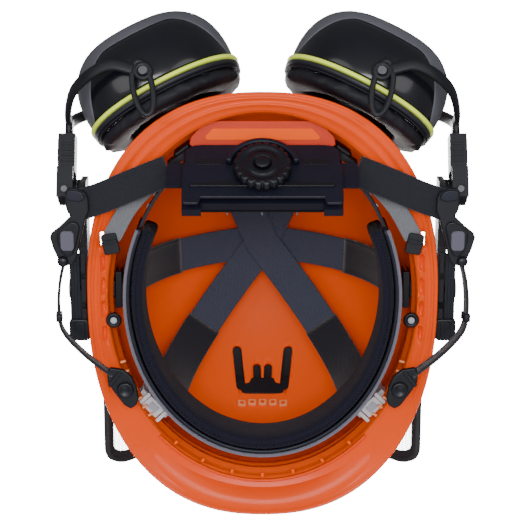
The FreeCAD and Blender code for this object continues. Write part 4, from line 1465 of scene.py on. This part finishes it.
def build_side_fittings(side, sign):
    """Dark ringed boss with a pale plug, and the bracket's ribs and end block."""
    boss = ground(97.5, -14.5, 0.4, sign)
    turned("flange_boss_" + side,
           ((0.5, 0), (4.9, 0), (5.2, 0.9), (4.6, 2.0), (3.4, 2.2), (2.8, 1.2), (0.5, 1.1)), boss,
           *BRACKET_STYLE, 40)
    turned("flange_plug_" + side, ((0.3, 1.0), (2.2, 1.1), (2.3, 1.9), (1.7, 2.5), (0.3, 2.6)), boss,
           "clip", "helmet", "clip_grey", 28)
    for name in ("side_bracket_", "slot_adapter_"):
        dress_node(name + side, "bracket", 0.9)
    outer = shift(sign * 119.6, 0, 14) @ spin(90 * sign, "Y")
    for k, y in enumerate((16, 24, 32, 40, 48)):
        place = outer @ shift(0, y, 0)
        slab(f"bracket_rib_{k}_{side}", (7.0, 0.9, 0.7), 1.0, place, *BRACKET_STYLE, 0.3)
    for k, (y0, y1) in enumerate(((-22, -8), (-4, 12), (16, 30), (34, 52))):
        place = ground(117.2, (y0 + y1) / 2, 5.4, sign)
        slab(f"bracket_rail_{k}_{side}", (1.7, (y1 - y0) / 2, 1.2), 1.3, place, *BRACKET_STYLE, 0.4)
    slab("bracket_under_" + side, (6.2, 28.6, 3.4), 4.6, ground(120.2, 0, 9.6, sign), *BRACKET_STYLE, 1.3)
    slab("bracket_under_rib_" + side, (1.0, 20, 0.9), 0.9, ground(122.4, 4, 5.2, sign), "band", "helmet",
         "bracket_black", 0.3)
    block = ground(120.6, -22.5, 8.6, sign)
    slab("bracket_end_" + side, (6.8, 7.6, 3.0), 5.6, block, *KNOB_STYLE, 1.5)
    slab("bracket_end_lip_" + side, (3.4, 5.4, 1.6), 1.0, block @ shift(0, 0, 5.4), *KNOB_STYLE, 0.4)


build_vent_trim()
build_vent_shutter()
build_rear_shelf()
build_ledge_ribs()
for side, sign in SIDES:
    build_side_fittings(side, sign)
dress_node("bracket_screws", "steel", 0.3)
dress_node("visor_hub_caps", "knob", 0.7)


# ---- stage, light and camera ----------------------------------------------------------
def stage_square(name, half, y, z, material, glow=0.0):
    """Level square of the stage, which can give off white light."""
    mat, _, shader = material
    shader.inputs["Emission Color"].default_value = (1, 1, 1, 1)
    shader.inputs["Emission Strength"].default_value = glow
    mesh = bpy.data.meshes.new(name)
    corners = [(-half, y - half, z), (half, y - half, z), (half, y + half, z), (-half, y + half, z)]
    mesh.from_pydata(corners, [], [(0, 1, 2, 3)])
    mesh.materials.append(mat)
    new_object(name, mesh)


def lamp(name, place, target, size, power):
    """Round soft light that faces a point."""
    light = bpy.data.lights.new(name, "AREA")
    light.shape = "DISK"
    light.size = size
    light.energy = power
    piece = new_object(name, light)
    piece.location = place
    piece.rotation_euler = (Vector(target) - Vector(place)).to_track_quat("-Z", "Y").to_euler()


def studio():
    """White surroundings and soft lights, most of them below the helmet."""
    world = bpy.data.worlds.new("studio")
    world.use_nodes = True
    sky = world.node_tree.nodes["Background"]
    sky.inputs["Color"].default_value = (1, 1, 1, 1)
    sky.inputs["Strength"].default_value = 0.28
    bpy.context.scene.world = world
    for side, sign in SIDES:
        lamp("under_" + side, (sign * 0.9, 0.7, -1.1), (0, 0, 0.02), 1.0, 6)
    lamp("under_middle", (0.0, 0.4, -1.3), (0, -0.02, 0.08), 0.6, 12)
    lamp("under_front", (0.0, -1.3, -0.9), (0, 0, 0.02), 0.9, 3)
    lamp("top_soft", (0.5, -0.7, 1.6), (0, 0, 0.05), 1.4, 12)


VIEW_TILT = math.radians(15)        # the camera looks up and a little toward the peak
VIEW_DISTANCE = 1.05
VIEW_TARGET = mm(0, 24.5, 0)
VIEW_WIDTH = 341.25 * MM            # width seen at the rim


def camera():
    """Camera below the helmet, looking up into it."""
    look = Vector((0, -math.sin(VIEW_TILT), math.cos(VIEW_TILT)))
    up = Vector((0, math.cos(VIEW_TILT), math.sin(VIEW_TILT)))
    right = look.cross(up)
    lens = bpy.data.cameras.new("camera")
    lens.sensor_width = 36
    lens.lens = 36 * VIEW_DISTANCE / VIEW_WIDTH
    lens.clip_end = 50
    piece = new_object("camera", lens)
    piece.matrix_world = frame_at(VIEW_TARGET - look * VIEW_DISTANCE, right, up, -look)
    bpy.context.scene.camera = piece


stage_square("floor", 9.0, 0.0, -3.0, new_material("floor_pale", (0.86, 0.86, 0.86), 0.7, specular=0.2))
# the card is the plain white behind the helmet
stage_square("card", 0.95, -0.75, 3.0, new_material("card_white", (1, 1, 1), 0.9, specular=0.0), glow=16.0)
studio()
camera()

bpy.context.view_layer.update()
